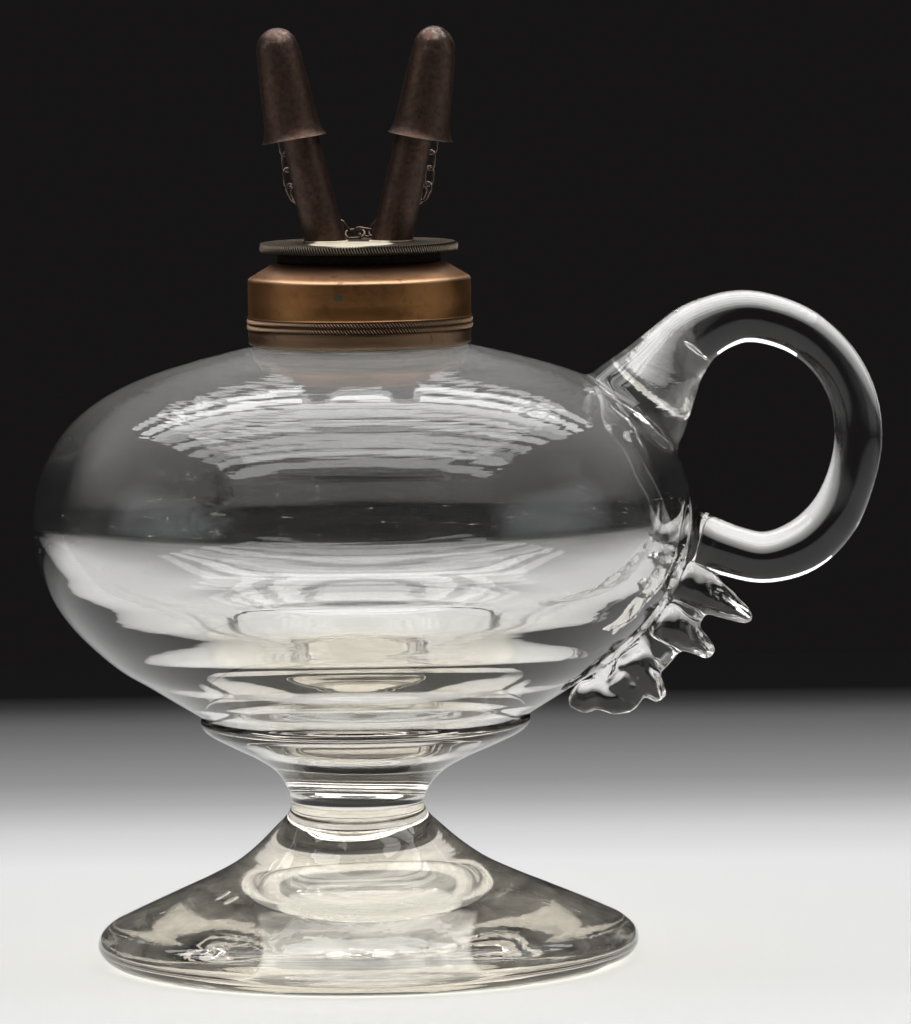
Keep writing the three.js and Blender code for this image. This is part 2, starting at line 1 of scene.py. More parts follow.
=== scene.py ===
# %% [markdown]
# A glass finger lamp for burning fluid. The real lamp was blown and drawn by hand: a squat hollow font on a
# flared stem and foot, a looped handle whose crimped tail runs down the font, and on top a brass screw
# collar, a burner plate with two wick tubes, two snuffer caps and a fine chain.
# The CAD model is loaded first as a fixed frame. Every piece below is made in its place, in metres.

# %% Load the frame
import json
import math

import bmesh
import bpy
import numpy as np
from mathutils import Matrix, Vector, kdtree, noise


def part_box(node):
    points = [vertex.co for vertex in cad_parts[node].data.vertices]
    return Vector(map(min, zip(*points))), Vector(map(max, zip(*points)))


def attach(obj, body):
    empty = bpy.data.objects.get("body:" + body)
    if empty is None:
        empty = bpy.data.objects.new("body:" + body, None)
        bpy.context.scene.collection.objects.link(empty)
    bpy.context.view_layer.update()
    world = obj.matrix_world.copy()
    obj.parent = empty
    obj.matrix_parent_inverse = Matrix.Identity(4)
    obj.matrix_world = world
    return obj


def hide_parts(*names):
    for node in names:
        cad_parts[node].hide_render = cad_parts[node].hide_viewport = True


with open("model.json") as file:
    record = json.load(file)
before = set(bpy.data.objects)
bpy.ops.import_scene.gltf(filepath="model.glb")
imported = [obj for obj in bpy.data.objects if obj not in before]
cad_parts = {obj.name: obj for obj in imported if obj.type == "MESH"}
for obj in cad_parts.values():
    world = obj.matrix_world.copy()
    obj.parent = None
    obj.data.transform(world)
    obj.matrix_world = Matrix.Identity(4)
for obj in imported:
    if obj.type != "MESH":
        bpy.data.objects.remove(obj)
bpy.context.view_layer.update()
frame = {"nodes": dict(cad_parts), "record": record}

mm = 0.001
foot_low, foot_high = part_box("foot")
axis_x = (foot_low.x + foot_high.x) / 2
plate_low, plate_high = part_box("burner_plate")
plate_z, top_z = plate_low.z / mm, plate_high.z / mm
scene = bpy.context.scene
print(f"lamp axis at x = {axis_x / mm:.2f} mm, plate top at z = {top_z:.2f} mm")

# %% [markdown]
# The camera comes first, because everything is seen through it. The ellipses of the foot and the collar
# say that the photograph was taken from about a metre away, a little above the lamp and looking down by
# almost five degrees. A long lens keeps the outline close to a drawing. The camera is rolled slightly,
# because the burner plate stands a little lower on its left end.

# %% Camera
camera_place = (-0.0004, -1.0, 0.150)
look_down, roll = math.radians(4.93), math.radians(-0.77)
camera_data = bpy.data.cameras.new("camera")
camera_data.lens = 248.1
camera_data.sensor_width = 36
camera_data.clip_start = 0.05
camera = bpy.data.objects.new("camera", camera_data)
scene.collection.objects.link(camera)
camera.location = camera_place
tilted = Matrix.Rotation(math.pi / 2 - look_down, 4, "X")
camera.rotation_euler = (tilted @ Matrix.Rotation(roll, 4, "Z")).to_euler()
scene.camera = camera
scene.view_settings.view_transform = "Standard"
print("camera", camera_place, "lens", round(camera_data.lens, 1))

# %% [markdown]
# A material in Blender is a graph of nodes. A small class keeps the graphs short to write: a Field is a value
# that a node gives, and a sum or product of fields adds a Math node for it. The functions below it each add
# one node, such as a noise or a colour ramp, and give back a field. A number that is the same all over a
# surface is set on the shader's own socket.

# %% Helpers for node graphs
class Field:
    """A value that a node gives. Sums, differences and products add Math nodes to the same graph."""

    def __init__(self, socket):
        self.socket = socket
        self.tree = socket.id_data

    def __add__(self, other):
        return maths("ADD", self, other)

    def __sub__(self, other):
        return maths("SUBTRACT", self, other)

    def __rsub__(self, other):
        return maths("SUBTRACT", other, self)

    def __mul__(self, other):
        return maths("MULTIPLY", self, other)


def add_node(tree, kind, inputs=None, output=0, **settings):
    """Adds a node, fills its inputs with fields or plain values, and returns one of its outputs."""
    made = tree.nodes.new(kind)
    for name, value in settings.items():
        setattr(made, name, value)
    for name, value in (inputs or {}).items():
        if isinstance(value, Field):
            tree.links.new(value.socket, made.inputs[name])
        else:
            made.inputs[name].default_value = value
    return Field(made.outputs[output])


def link(field, shader, name):
    field.tree.links.new(field.socket, shader.inputs[name])


def maths(how, *values, clamp=False):
    tree = next(value.tree for value in values if isinstance(value, Field))
    return add_node(tree, "ShaderNodeMath", dict(enumerate(values)), operation=how, use_clamp=clamp)


def part(vector, axis):
    return add_node(vector.tree, "ShaderNodeSeparateXYZ", {"Vector": vector}, axis)


def length_of(vector):
    return add_node(vector.tree, "ShaderNodeVectorMath", {0: vector}, "Value", operation="LENGTH")


def rising(value, low, high):
    """0 up to the low limit and 1 from the high one. With the limits the other way round, it falls."""
    return add_node(value.tree, "ShaderNodeMapRange", {"Value": value, "From Min": low, "From Max": high})


def start_material(name, **inputs):
    material = bpy.data.materials.new(name)
    material.use_nodes = True
    shader = material.node_tree.nodes["Principled BSDF"]
    for key, value in inputs.items():
        shader.inputs[key.replace("_", " ")].default_value = value
    return material, material.node_tree, shader


def place_on_object(tree, scale=(1, 1, 1), location=(0, 0, 0), rotation=(0, 0, 0)):
    where = add_node(tree, "ShaderNodeTexCoord", output="Object")
    inputs = {"Vector": where, "Scale": scale, "Location": location, "Rotation": rotation}
    return add_node(tree, "ShaderNodeMapping", inputs)


def grain(tree, scale, detail=4, roughness=0.55, distortion=0.0, stretch=(1, 1, 1), rotation=(0, 0, 0)):
    """A noise on the object's own coordinates, which may be scaled for each axis and turned."""
    inputs = {"Vector": place_on_object(tree, stretch, rotation=rotation), "Scale": scale, "Detail": detail}
    inputs.update({"Roughness": roughness, "Distortion": distortion})
    return add_node(tree, "ShaderNodeTexNoise", inputs)


def ramp(value, stops):
    made = add_node(value.tree, "ShaderNodeValToRGB", {"Fac": value})
    elements = made.socket.node.color_ramp.elements
    while len(elements) < len(stops):
        elements.new(0.5)
    for element, (place, colour) in zip(elements, stops):
        element.position = place
        element.color = (*colour, 1) if isinstance(colour, tuple) else (colour, colour, colour, 1)
    return made


def mixed(share, first, second):
    """The first colour where the share is 0, the second where it is 1."""
    a, b = [(*colour, 1) if isinstance(colour, tuple) else colour for colour in (first, second)]
    return add_node(share.tree, "ShaderNodeMix", {0: share, 6: a, 7: b}, 2, data_type="RGBA")


def laid_over(colour, *layers):
    """Lays tones over a colour, each by its own share."""
    for share, tone in layers:
        colour = mixed(share, colour, tone)
    return colour


def bump(shader, height, distance, strength=1.0):
    inputs = {"Height": height, "Distance": distance, "Strength": strength}
    link(add_node(height.tree, "ShaderNodeBump", inputs), shader, "Normal")


print("node helpers ready")

# %% [markdown]
# The floor is pale and plain. Behind the lamp it falls off into the dark, as it does in the photograph, and
# it does so well in front of it too. The fall is painted light: a colour ramp on the distance from the lamp,
# not a fall of the lamps' light, so clear glass has something bright below it and something dark behind it
# to bend into view.

# %% Floor
floor_left, floor_right, floor_front, floor_back = -0.9, 0.9, -1.5, 0.4
floor_z = -0.00005
floor_corners = [
    (floor_left, floor_front, floor_z), (floor_right, floor_front, floor_z),
    (floor_right, floor_back, floor_z), (floor_left, floor_back, floor_z),
]
floor_mesh = bpy.data.meshes.new("floor")
floor_mesh.from_pydata(floor_corners, [], [(0, 1, 2, 3)])
floor = bpy.data.objects.new("floor", floor_mesh)
scene.collection.objects.link(floor)

fade_start, fade_length, side_start = -0.06, 0.4, 0.06
front_dark, front_bright = -0.62, -0.3
# Painted light: the floor's colour falls from pale near the lamp to near black behind it and far in front.
painted_falloff_stops = [
    (0.0, 0.74), (0.1, 0.68), (0.4, 0.66), (0.5, 0.54), (0.59, 0.35), (0.66, 0.25), (0.8, 0.16), (0.88, 0.11),
    (0.95, 0.036), (1.0, 0.0078),
]
floor_finish, tree, shader = start_material("floor_paper", Roughness=0.6, Specular_IOR_Level=0.0)
spread = place_on_object(tree, scale=(0.33, 1, 1), location=(0, -fade_start, 0))
behind = maths("MAXIMUM", part(spread, "Y"), 0.0)
across = maths("MAXIMUM", maths("ABSOLUTE", part(spread, "X")) - side_start, 0.0)
far = maths("SQRT", maths("POWER", behind, 2.0) + maths("POWER", across, 2.0))
painted_falloff = ramp(maths("DIVIDE", far, fade_length, clamp=True), painted_falloff_stops)
in_light = rising(part(place_on_object(tree), "Y"), front_dark, front_bright)
link(mixed(in_light, (0.07, 0.07, 0.07), painted_falloff), shader, "Base Color")
floor_mesh.materials.append(floor_finish)
print(f"floor dark from {fade_length + fade_start:.2f} m behind the lamp")

# %% [markdown]
# One wide soft box hangs above the lamp. It is made of parallel strips, as a box with tubes in it is. Their
# reflections make the nested white arcs on the shoulder of the font and the white band along the handle. The
# world round it is nearly black, but for a pale card on either side. The cards give round metal a soft streak
# near its edge, and clear glass the thin light outline that parts it from a dark background.

# %% Light and world
box_height, box_width, box_depth_middle, box_power = 0.75, 1.2, 0.12, 11.5
strip_count, strip_step, strip_width = 9, 0.13, 0.095
for k in range(strip_count):
    strip_data = bpy.data.lights.new("softbox_strip", "AREA")
    strip_data.shape = "RECTANGLE"
    strip_data.size = box_width
    strip_data.size_y = strip_width
    strip_data.energy = box_power / strip_count * (1 + 0.3 * math.sin(2.1 * k))
    strip = bpy.data.objects.new("softbox_strip", strip_data)
    from_middle = (k - (strip_count - 1) / 2) * strip_step + 0.022 * math.sin(1.7 * k)
    strip.location = (axis_x, box_depth_middle + from_middle, box_height)
    scene.collection.objects.link(strip)


def between(value, low, high, soft):
    """1 where the value lies between low and high, with a soft edge."""
    return rising(value, low - soft, low + soft) * rising(value, high + soft, high - soft)


world = bpy.data.worlds.new("dark_room")
world.use_nodes = True
background = world.node_tree.nodes["Background"]
direction = add_node(world.node_tree, "ShaderNodeTexCoord", output="Generated")
sideways = between(maths("ABSOLUTE", part(direction, "X")), 0.80, 1.5, 0.05)
low_down = between(part(direction, "Z"), -0.05, 0.45, 0.06)
in_front = between(part(direction, "Y"), -0.7, 0.12, 0.05)
card = sideways * low_down * in_front
link(mixed(card, (0.0083, 0.0076, 0.0079), (0.50, 0.52, 0.53)), background, "Color")
background.inputs["Strength"].default_value = 1.0
scene.world = world
print("softbox of", strip_count, "strips,", box_width, "m wide, at", box_height, "m")

# %% [markdown]
# Turned and blown forms start as an outline: distances from the axis and heights, measured in the photograph
# in millimetres. A smooth curve is drawn through the measured points, so a dozen of them are enough, and the
# outline is turned round the lamp's axis. Blender's Spin tool or a Screw modifier would do it too. Writing
# the rings directly keeps control of the poles and lets the form lean or wobble as blown glass does.

# %% Helpers for turned forms
def smooth_run(points, step):
    """Points about one step apart on a smooth curve through the given ones."""
    points = [Vector(p) for p in points]
    ends = [points[0] * 2 - points[1], *points, points[-1] * 2 - points[-2]]
    run = []
    for a, b, c, d in zip(ends, ends[1:], ends[2:], ends[3:]):
        pieces = max(1, round((c - b).length / step))
        t1 = (b - a).length ** 0.5
        t2 = t1 + (c - b).length ** 0.5
        t3 = t2 + (d - c).length ** 0.5
        for i in range(pieces):
            t = t1 + (t2 - t1) * i / pieces
            ab = a * ((t1 - t) / t1) + b * (t / t1)
            bc = b * ((t2 - t) / (t2 - t1)) + c * ((t - t1) / (t2 - t1))
            cd = c * ((t3 - t) / (t3 - t2)) + d * ((t - t2) / (t3 - t2))
            abc = ab * ((t2 - t) / t2) + bc * (t / t2)
            bcd = bc * ((t3 - t) / (t3 - t1)) + cd * ((t - t1) / (t3 - t1))
            run.append(abc * ((t2 - t) / (t2 - t1)) + bcd * ((t - t1) / (t2 - t1)))
    run.append(points[-1])
    return [tuple(p) for p in run]


def from_axis(points):
    """Points in mm from the lamp's axis, as places in the scene in metres."""
    return [(axis_x + x * mm, y * mm, z * mm) for x, y, z in points]


def mesh_object(name, vertices, edges, faces):
    mesh = bpy.data.meshes.new(name)
    mesh.from_pydata(vertices, edges, faces)
    return link_object(name, mesh)


def link_object(name, mesh):
    made = bpy.data.objects.new(name, mesh)
    scene.collection.objects.link(made)
    return made


def face_outwards(piece):
    work = bmesh.new()
    work.from_mesh(piece.data)
    bmesh.ops.remove_doubles(work, verts=work.verts, dist=1e-7)
    bmesh.ops.recalc_face_normals(work, faces=work.faces)
    work.to_mesh(piece.data)
    work.free()


def turned(name, outline, turns, shape=None, closed=False):
    """Turns an outline of (radius, height) in mm round the lamp's axis. A point on the axis becomes a pole,
    and a closed outline makes a ring. shape(x, y, z) may move each point."""
    vertices, faces, rings = [], [], []
    for radius, height in outline:
        if radius < 1e-6:
            rings.append([len(vertices)] * turns)
            vertices.append((0.0, 0.0, height))
            continue
        rings.append(list(range(len(vertices), len(vertices) + turns)))
        for k in range(turns):
            angle = 2 * math.pi * k / turns
            vertices.append((radius * math.cos(angle), radius * math.sin(angle), height))
    pairs = list(zip(rings, rings[1:]))
    if closed:
        pairs.append((rings[-1], rings[0]))
    for low, high in pairs:
        for k in range(turns):
            after = (k + 1) % turns
            corners = [low[k], low[after], high[after], high[k]]
            faces.append(tuple(dict.fromkeys(corners)))
    if shape:
        vertices = [shape(*v) for v in vertices]
    piece = mesh_object(name, from_axis(vertices), [], faces)
    face_outwards(piece)
    return piece


def set_smooth(piece, degrees):
    """Smooth shading, but for edges sharper than an angle."""
    piece.data.shade_smooth()
    piece.data.set_sharp_from_angle(angle=math.radians(degrees))


def triangles(piece):
    return sum(len(p.vertices) - 2 for p in piece.data.polygons)


def dress(piece, material, slot, body, *nodes):
    """Gives a piece its material, hides the CAD nodes that it stands for, and hangs it on the body that it
    rides on.
    """
    piece.data.materials.clear()
    piece.data.materials.append(material)
    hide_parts(*nodes)
    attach(piece, body)


print("turning helpers ready")

# %% [markdown]
# The glass body is one fused piece on the real lamp, so it is made as one mesh: where two pieces of glass
# only touched, light would bend at a surface that the real lamp doesn't have. The outside of foot, stem and
# font is turned first. The outline has three creases, at the ring that the foot stands on, at the lip of the
# stem's cup, and where the neck rises from the shoulder.

# %% Outside of the glass
under_foot = [
    (0, 6.0), (4, 5.9), (8, 5.3), (10.8, 4.0), (12.2, 2.6), (13.0, 1.3), (14.2, 0.6), (18, 0.4), (29.4, 0.15),
    (30.6, 0.0),
]
foot_edge = [(36.2, 0.0), (37.4, 0.55), (38.4, 1.6), (38.7, 2.6), (38.3, 3.9), (37.0, 5.1), (34.8, 6.2)]
foot_cone = [(27.4, 9.5), (22.6, 11.6), (18.1, 13.9), (14.7, 16.4), (12.0, 18.9), (10.2, 20.7), (9.45, 22.2)]
stem_cup = [(9.7, 23.6), (10.6, 25.4), (12.2, 27.2), (15.45, 29.2), (19.5, 31.1), (22.9, 33.0), (23.55, 33.9)]
cup_lip = [(23.5, 34.5), (23.3, 34.95)]
font_side = [
    (23.9, 35.4), (27.8, 37.8), (31.3, 40.0), (34.8, 42.1), (38.3, 45.0), (41.7, 48.5), (44.2, 52.1),
    (45.6, 55.4), (46.55, 59.1), (46.9, 62.7), (46.75, 65.7), (45.9, 69.5), (44.3, 73.0), (41.9, 76.4),
    (38.5, 79.4), (34.25, 81.9), (29.3, 83.9), (23.6, 85.6), (18.0, 87.0), (15.4, 87.62), (14.7, 87.8),
]
neck = [(14.42, 88.1), (14.4, 89.6), (14.4, 92.5), (14.4, 95.4), (14.0, 96.0), (13.2, 96.2)]
outer_outline = [
    *smooth_run(under_foot, 1.0), *smooth_run(foot_edge + foot_cone + stem_cup, 0.6),
    *smooth_run(cup_lip, 0.3), *smooth_run(font_side, 0.6), *smooth_run(neck, 0.4), (0.0, neck[-1][1]),
]
waist_low, waist_mid, waist_high = 4.0, 22.0, 34.5
waist_shift = -1.3
glass_turns = 156


def ease(t):
    t = min(max(t, 0.0), 1.0)
    return t * t * (3 - 2 * t)


def glass_shape(x, y, z):
    """Blown glass isn't quite true: the waist was drawn off centre, and the walls swell a little."""
    up, down = (z - waist_low) / (waist_mid - waist_low), (z - waist_mid) / (waist_high - waist_mid)
    swell = 0.9985 + 0.0016 * noise.noise(Vector((x * 0.035, y * 0.035, z * 0.05)))
    return x * swell + waist_shift * (ease(up) * (1 - ease(down))), y * swell, z


glass = turned("glass_body", outer_outline, glass_turns, glass_shape)
print("outside of the glass:", len(outer_outline), "rings,", triangles(glass), "triangles")

# %% [markdown]
# The handle is a rod of glass, laid on the shoulder while hot, looped over and brought back to the side of
# the font. A rod along a path is a job for Geometry Nodes: a line of points becomes a curve, each point
# carries the rod's radius there, and Curve to Mesh draws a circle along it.

# %% Geometry Nodes helpers
socket_kinds = {int: "NodeSocketInt", float: "NodeSocketFloat", tuple: "NodeSocketVector"}


def new_tree(name, **inputs):
    """Starts a Geometry Nodes tree, and returns it with its inputs as fields, by name."""
    tree = bpy.data.node_groups.new(name, "GeometryNodeTree")
    for in_out in ("INPUT", "OUTPUT"):
        tree.interface.new_socket("Geometry", in_out=in_out, socket_type="NodeSocketGeometry")
    tree.interface.new_socket("Material", in_out="INPUT", socket_type="NodeSocketMaterial")
    for label, value in inputs.items():
        socket = tree.interface.new_socket(label, in_out="INPUT", socket_type=socket_kinds[type(value)])
        socket.default_value = value
    given = tree.nodes.new("NodeGroupInput")
    return tree, {socket.name: Field(socket) for socket in given.outputs if socket.name}


def end_tree(tree, given, geometry):
    real = add_node(tree, "GeometryNodeRealizeInstances", {"Geometry": geometry})
    painted = add_node(tree, "GeometryNodeSetMaterial", {"Geometry": real, "Material": given["Material"]})
    link(painted, tree.nodes.new("NodeGroupOutput"), "Geometry")
    return tree


def new_mesh(piece, name):
    """The mesh that an object's modifiers give."""
    bpy.context.view_layer.update()
    mesh = bpy.data.meshes.new_from_object(piece.evaluated_get(bpy.context.evaluated_depsgraph_get()))
    mesh.name = name
    return mesh


def run_tree(tree, carrier, **values):
    """Runs a tree on a carrier object, and returns the result as a plain mesh object of the same name."""
    name = carrier.name
    modifier = carrier.modifiers.new(tree.name, "NODES")
    modifier.node_group = tree
    names = {s.name: s.identifier for s in tree.interface.items_tree if s.in_out == "INPUT"}
    for label, value in values.items():
        modifier[names[label]] = value
    result = new_mesh(carrier, name)
    bpy.data.objects.remove(carrier)
    return link_object(name, result)


print("Geometry Nodes helpers ready")

# %% Rod along a path
tree, given = new_tree("rod_along_path", Facets=40, Flatness=1.0)
line = add_node(tree, "GeometryNodeMeshToCurve", {"Mesh": given["Geometry"]})
thickness = add_node(tree, "GeometryNodeInputNamedAttribute", {"Name": "rod_radius"}, data_type="FLOAT")
ring = add_node(tree, "GeometryNodeCurvePrimitiveCircle", {"Resolution": given["Facets"], "Radius": 1.0})
stretch = add_node(tree, "ShaderNodeCombineXYZ", {"X": 1.0, "Y": given["Flatness"], "Z": 1.0})
oval = add_node(tree, "GeometryNodeTransform", {"Geometry": ring, "Scale": stretch})
rod_inputs = {"Curve": line, "Profile Curve": oval, "Scale": thickness, "Fill Caps": True}
rod_tree = end_tree(tree, given, add_node(tree, "GeometryNodeCurveToMesh", rod_inputs))


def make_rod(name, path, facets, flatness=1.0):
    """A rod along (x, y, z, radius) in mm, where x and y are from the lamp's axis."""
    steps = [(k, k + 1) for k in range(len(path) - 1)]
    carrier = mesh_object(name, from_axis(point[:3] for point in path), steps, [])
    radii = carrier.data.attributes.new("rod_radius", "FLOAT", "POINT")
    radii.data.foreach_set("value", [radius * mm for *_, radius in path])
    piece = run_tree(rod_tree, carrier, Facets=facets, Flatness=flatness)
    face_outwards(piece)
    return piece


def rod_path(line, step, y=0.0, share=1.0):
    """A smooth path in the plane of the handle, or beside it, through points of (x, z, size)."""
    return [(x, y, z, size * share) for x, z, size in smooth_run(line, step)]


# Centre of the rod in the photograph: distance from the axis, height, thickness
handle_line = [
    (35.6, 73.6, 18.6), (37.4, 76.2, 17.6), (40.0, 79.6, 15.2), (42.2, 82.6, 12.6), (44.5, 85.6, 10.3),
    (48.0, 88.9, 8.8), (54.4, 91.1, 7.5), (62.05, 89.1, 6.9), (67.0, 84.9, 6.7), (69.9, 79.4, 6.7),
    (70.6, 73.6, 6.8), (69.4, 67.6, 6.9), (66.8, 62.2, 7.4), (62.4, 58.2, 7.7), (57.0, 56.7, 7.3),
    (51.6, 57.9, 7.5), (48.4, 58.9, 8.3), (46.0, 59.7, 9.4), (43.6, 60.5, 10.4),
]
handle = make_rod("handle_rod", rod_path(handle_line, 0.9, share=0.5), 44)
print("handle rod:", triangles(handle), "triangles")

# %% [markdown]
# The tail is what was left of the rod: it was drawn down the font and pinched three times with pincers, and
# its end was curled up. Rods and flattened lobes are joined, remeshed into one skin, and smoothed, which
# gives the melted look that hot glass has after the pincers let go.

# %% Crimped tail
lobe_rings, lobe_facets, lobe_ridges = 26, 36, 2


def pinched_lobe(root, tip, root_size, tip_size, width):
    """A tooth that the pincers drew out in the plane of the handle. Sizes are half thicknesses."""
    start, end = Vector((root[0], 0, root[1])), Vector((tip[0], 0, tip[1]))
    along = (end - start).normalized()
    side = Vector((-along.z, 0, along.x))
    length = (end - start).length
    vertices, faces = [], []
    for i in range(lobe_rings + 1):
        t = i / lobe_rings
        close = math.sqrt(max(0.0, 1 - max(0.0, (t - 0.84) / 0.16) ** 2)) if t < 1 else 0.0
        thick = (tip_size + (root_size - tip_size) * (1 - t) ** 1.25) * close
        wide = width * (1 - 0.35 * t * t) * close
        for k in range(lobe_facets):
            angle = 2 * math.pi * k / lobe_facets
            press = 1 - 0.22 * t * math.cos(lobe_ridges * 2 * angle) ** 2
            sideways = side * (thick * math.cos(angle) * press) + Vector((0, wide * math.sin(angle), 0))
            vertices.append(start + along * (length * t) + sideways)
    for i in range(lobe_rings):
        for k in range(lobe_facets):
            a, b = i * lobe_facets + k, i * lobe_facets + (k + 1) % lobe_facets
            faces.append((a, b, b + lobe_facets, a + lobe_facets))
    faces.append(tuple(range(lobe_facets)))
    piece = mesh_object("tooth", from_axis(vertices), [], faces)
    face_outwards(piece)
    return piece


def join_into(name, pieces):
    work = bmesh.new()
    for piece in pieces:
        work.from_mesh(piece.data)
        bpy.data.objects.remove(piece)
    mesh = bpy.data.meshes.new(name)
    work.to_mesh(mesh)
    work.free()
    return link_object(name, mesh)


def apply_modifiers(piece):
    baked = new_mesh(piece, piece.data.name)
    piece.modifiers.clear()
    piece.data = baked
    return piece


def remeshed(piece, voxel, smoothing):
    skin = piece.modifiers.new("skin", "REMESH")
    skin.mode = "VOXEL"
    skin.voxel_size = voxel * mm
    relax = piece.modifiers.new("relax", "SMOOTH")
    relax.factor = 0.5
    relax.iterations = smoothing
    return apply_modifiers(piece)


tail_line = [
    (45.0, 58.6, 3.6), (45.6, 54.6, 3.6), (44.6, 50.4, 3.5), (41.6, 45.8, 3.3), (37.6, 41.6, 3.1),
    (33.4, 38.9, 3.0),
]
curl_line = [
    (36.0, 40.2, 2.6), (37.6, 38.4, 2.3), (36.6, 36.9, 2.0), (34.6, 37.0, 1.9), (33.0, 37.6, 1.9),
    (31.2, 37.1, 2.0), (29.7, 37.9, 1.8),
]
teeth = [
    ((44.8, 53.9), (55.5, 47.7), 4.5, 1.15, 4.9),
    ((42.2, 48.4), (49.7, 42.9), 4.2, 1.15, 4.7),
    ((38.0, 43.0), (42.2, 36.3), 3.8, 1.25, 4.4),
]
curl_offset, lump_height = 1.7, 0.22
tail_pieces = [make_rod("tail_rod", rod_path(tail_line, 0.8), 28, flatness=1.25)]
tail_pieces += [pinched_lobe(*tooth) for tooth in teeth]
for side in (-1, 1):
    tail_pieces.append(make_rod("curl", rod_path(curl_line, 0.8, side * curl_offset), 20, flatness=1.1))
tail = remeshed(join_into("tail_lump", tail_pieces), 0.32, 9)
for vertex in tail.data.vertices:
    lump = noise.noise(vertex.co * 330) + 0.5 * noise.noise(vertex.co * 700)
    vertex.co += vertex.normal * lump * lump_height * mm
print("tail:", triangles(tail), "triangles")

# %% [markdown]
# Now the pieces of glass are fused. A Boolean union joins the handle and the tail to the body, and then the
# hollow of the font and the bore of the neck are cut out, so that nothing reaches into the hollow.
# The wall is even round the widest place, thins towards the shoulder and grows thicker towards the floor.
# That makes the lower half of the font white: the wall works as a prism that bends the view down to the
# bright floor. The even part bends nothing, so the dark background shows through it as a level band.

# %% Hollow of the font, and fusing
shoulder_wall, middle_wall = 1.5, 3.9
thicker_below, thinner_above = 63.2, 71.0
lower_slope, upper_slope, soft_start = 0.122, 0.17, 3.6
hollow_floor, floor_curve, floor_blend, shoulder_end = 35.5, 3.0, 3.2, 85.6
neck_bore, bore_top = 12.0, 97.2


def gentle_run(distance):
    """Grows as the distance does, but with a soft start instead of a corner."""
    return distance - soft_start * (1 - math.exp(-distance / soft_start))


def wall_thickness(z):
    """Thickness of the font's wall in mm, measured square to its outside."""
    if z < thicker_below:
        return middle_wall + lower_slope * gentle_run(thicker_below - z)
    return max(shoulder_wall, middle_wall - upper_slope * gentle_run(max(z - thinner_above, 0.0)))


def hollow_wall():
    """The outside moved in by the wall's thickness, from just above the hollow's floor up to the neck."""
    outside = smooth_run(font_side, 1.0)
    wall = []
    for before, here, after in zip(outside, outside[1:], outside[2:]):
        run, rise = after[0] - before[0], after[1] - before[1]
        thick = wall_thickness(here[1]) / math.hypot(run, rise)
        radius, z = here[0] - rise * thick, here[1] + run * thick
        inside_font = radius > neck_bore + 0.6 and hollow_floor + floor_blend < z < shoulder_end
        if inside_font and (not wall or z > wall[-1][1] + 0.2):
            wall.append((radius, z))
    return wall


def fuse(piece, other, how):
    cut = piece.modifiers.new(how.lower(), "BOOLEAN")
    cut.operation = how
    cut.object = other
    cut.solver = "MANIFOLD"
    apply_modifiers(piece)
    bpy.data.objects.remove(other)


def melt_creases(piece, beyond, sharpest, reach, rounds):
    """Hot glass flows at a joint: points near a sharp crease, past a distance from the axis, are smoothed."""
    work = bmesh.new()
    work.from_mesh(piece.data)
    start_x, sharp_angle = axis_x + beyond * mm, math.radians(sharpest)
    on_crease = {
        vertex for edge in work.edges for vertex in edge.verts
        if edge.verts[0].co.x > start_x and edge.is_manifold and edge.calc_face_angle(0) > sharp_angle
    }
    tree_of_points = kdtree.KDTree(len(on_crease))
    for number, vertex in enumerate(on_crease):
        tree_of_points.insert(vertex.co, number)
    tree_of_points.balance()
    near = [
        vertex for vertex in work.verts
        if vertex.co.x > start_x - reach * mm and (tree_of_points.find(vertex.co)[2] or 0) < reach * mm
    ]
    for _ in range(rounds):
        bmesh.ops.smooth_vert(work, verts=near, factor=0.5, use_axis_x=True, use_axis_y=True, use_axis_z=True)
    work.to_mesh(piece.data)
    work.free()
    print("joint softened at", len(near), "points")


def bubble(centre, sizes, tilt):
    """An air bubble drawn out along the glass: half sizes in mm, tilted in the plane of the handle."""
    work = bmesh.new()
    bmesh.ops.create_uvsphere(work, u_segments=20, v_segments=12, radius=1.0)
    turn = Matrix.Rotation(math.radians(-tilt), 4, "Y")
    place = Matrix.Translation(from_axis([centre])[0])
    work.transform(place @ turn @ Matrix.Diagonal((*(s * mm for s in sizes), 1)))
    mesh = bpy.data.meshes.new("bubble")
    work.to_mesh(mesh)
    work.free()
    return link_object("bubble", mesh)


side_wall = hollow_wall()
edge_radius, edge_z = side_wall[0]
hollow_base = [
    (edge_radius * k / 8, hollow_floor + (edge_z - hollow_floor) * (k / 8) ** floor_curve) for k in range(8)
]
bore = [(12.2, 87.6), (neck_bore, 89.0), (neck_bore, 95.4), (12.5, 96.0), (13.2, 96.25), (13.4, bore_top)]
hollow_outline = smooth_run(hollow_base + side_wall + bore, 0.5) + [(0.0, bore_top)]
hollow = turned("hollow", hollow_outline, glass_turns, glass_shape)
print(f"wall {wall_thickness(62):.1f} mm at the widest place, {wall_thickness(45):.1f} mm low down")
bubbles = [
    ((47.0, -1.2, 86.7), (1.4, 0.42, 0.42), -36), ((48.35, -1.2, 85.7), (0.45, 0.28, 0.28), -36),
    ((-19.6, -10.0, 8.6), (1.45, 0.5, 0.55), 48), ((-18.2, -11.0, 7.2), (1.35, 0.5, 0.6), 44),
    ((-28.0, -6.0, 5.4), (0.6, 0.35, 0.3), 15), ((24.5, -9.0, 7.0), (0.9, 0.3, 0.3), -20),
    ((29.0, -7.0, 5.4), (0.7, 0.25, 0.25), -24),
]
fuse(glass, handle, "UNION")
fuse(glass, tail, "UNION")
melt_creases(glass, 27.0, 22, 1.5, 10)
fuse(glass, hollow, "DIFFERENCE")
fuse(glass, join_into("bubbles", [bubble(*values) for values in bubbles]), "DIFFERENCE")
set_smooth(glass, 40)
print("fused glass:", triangles(glass), "triangles")

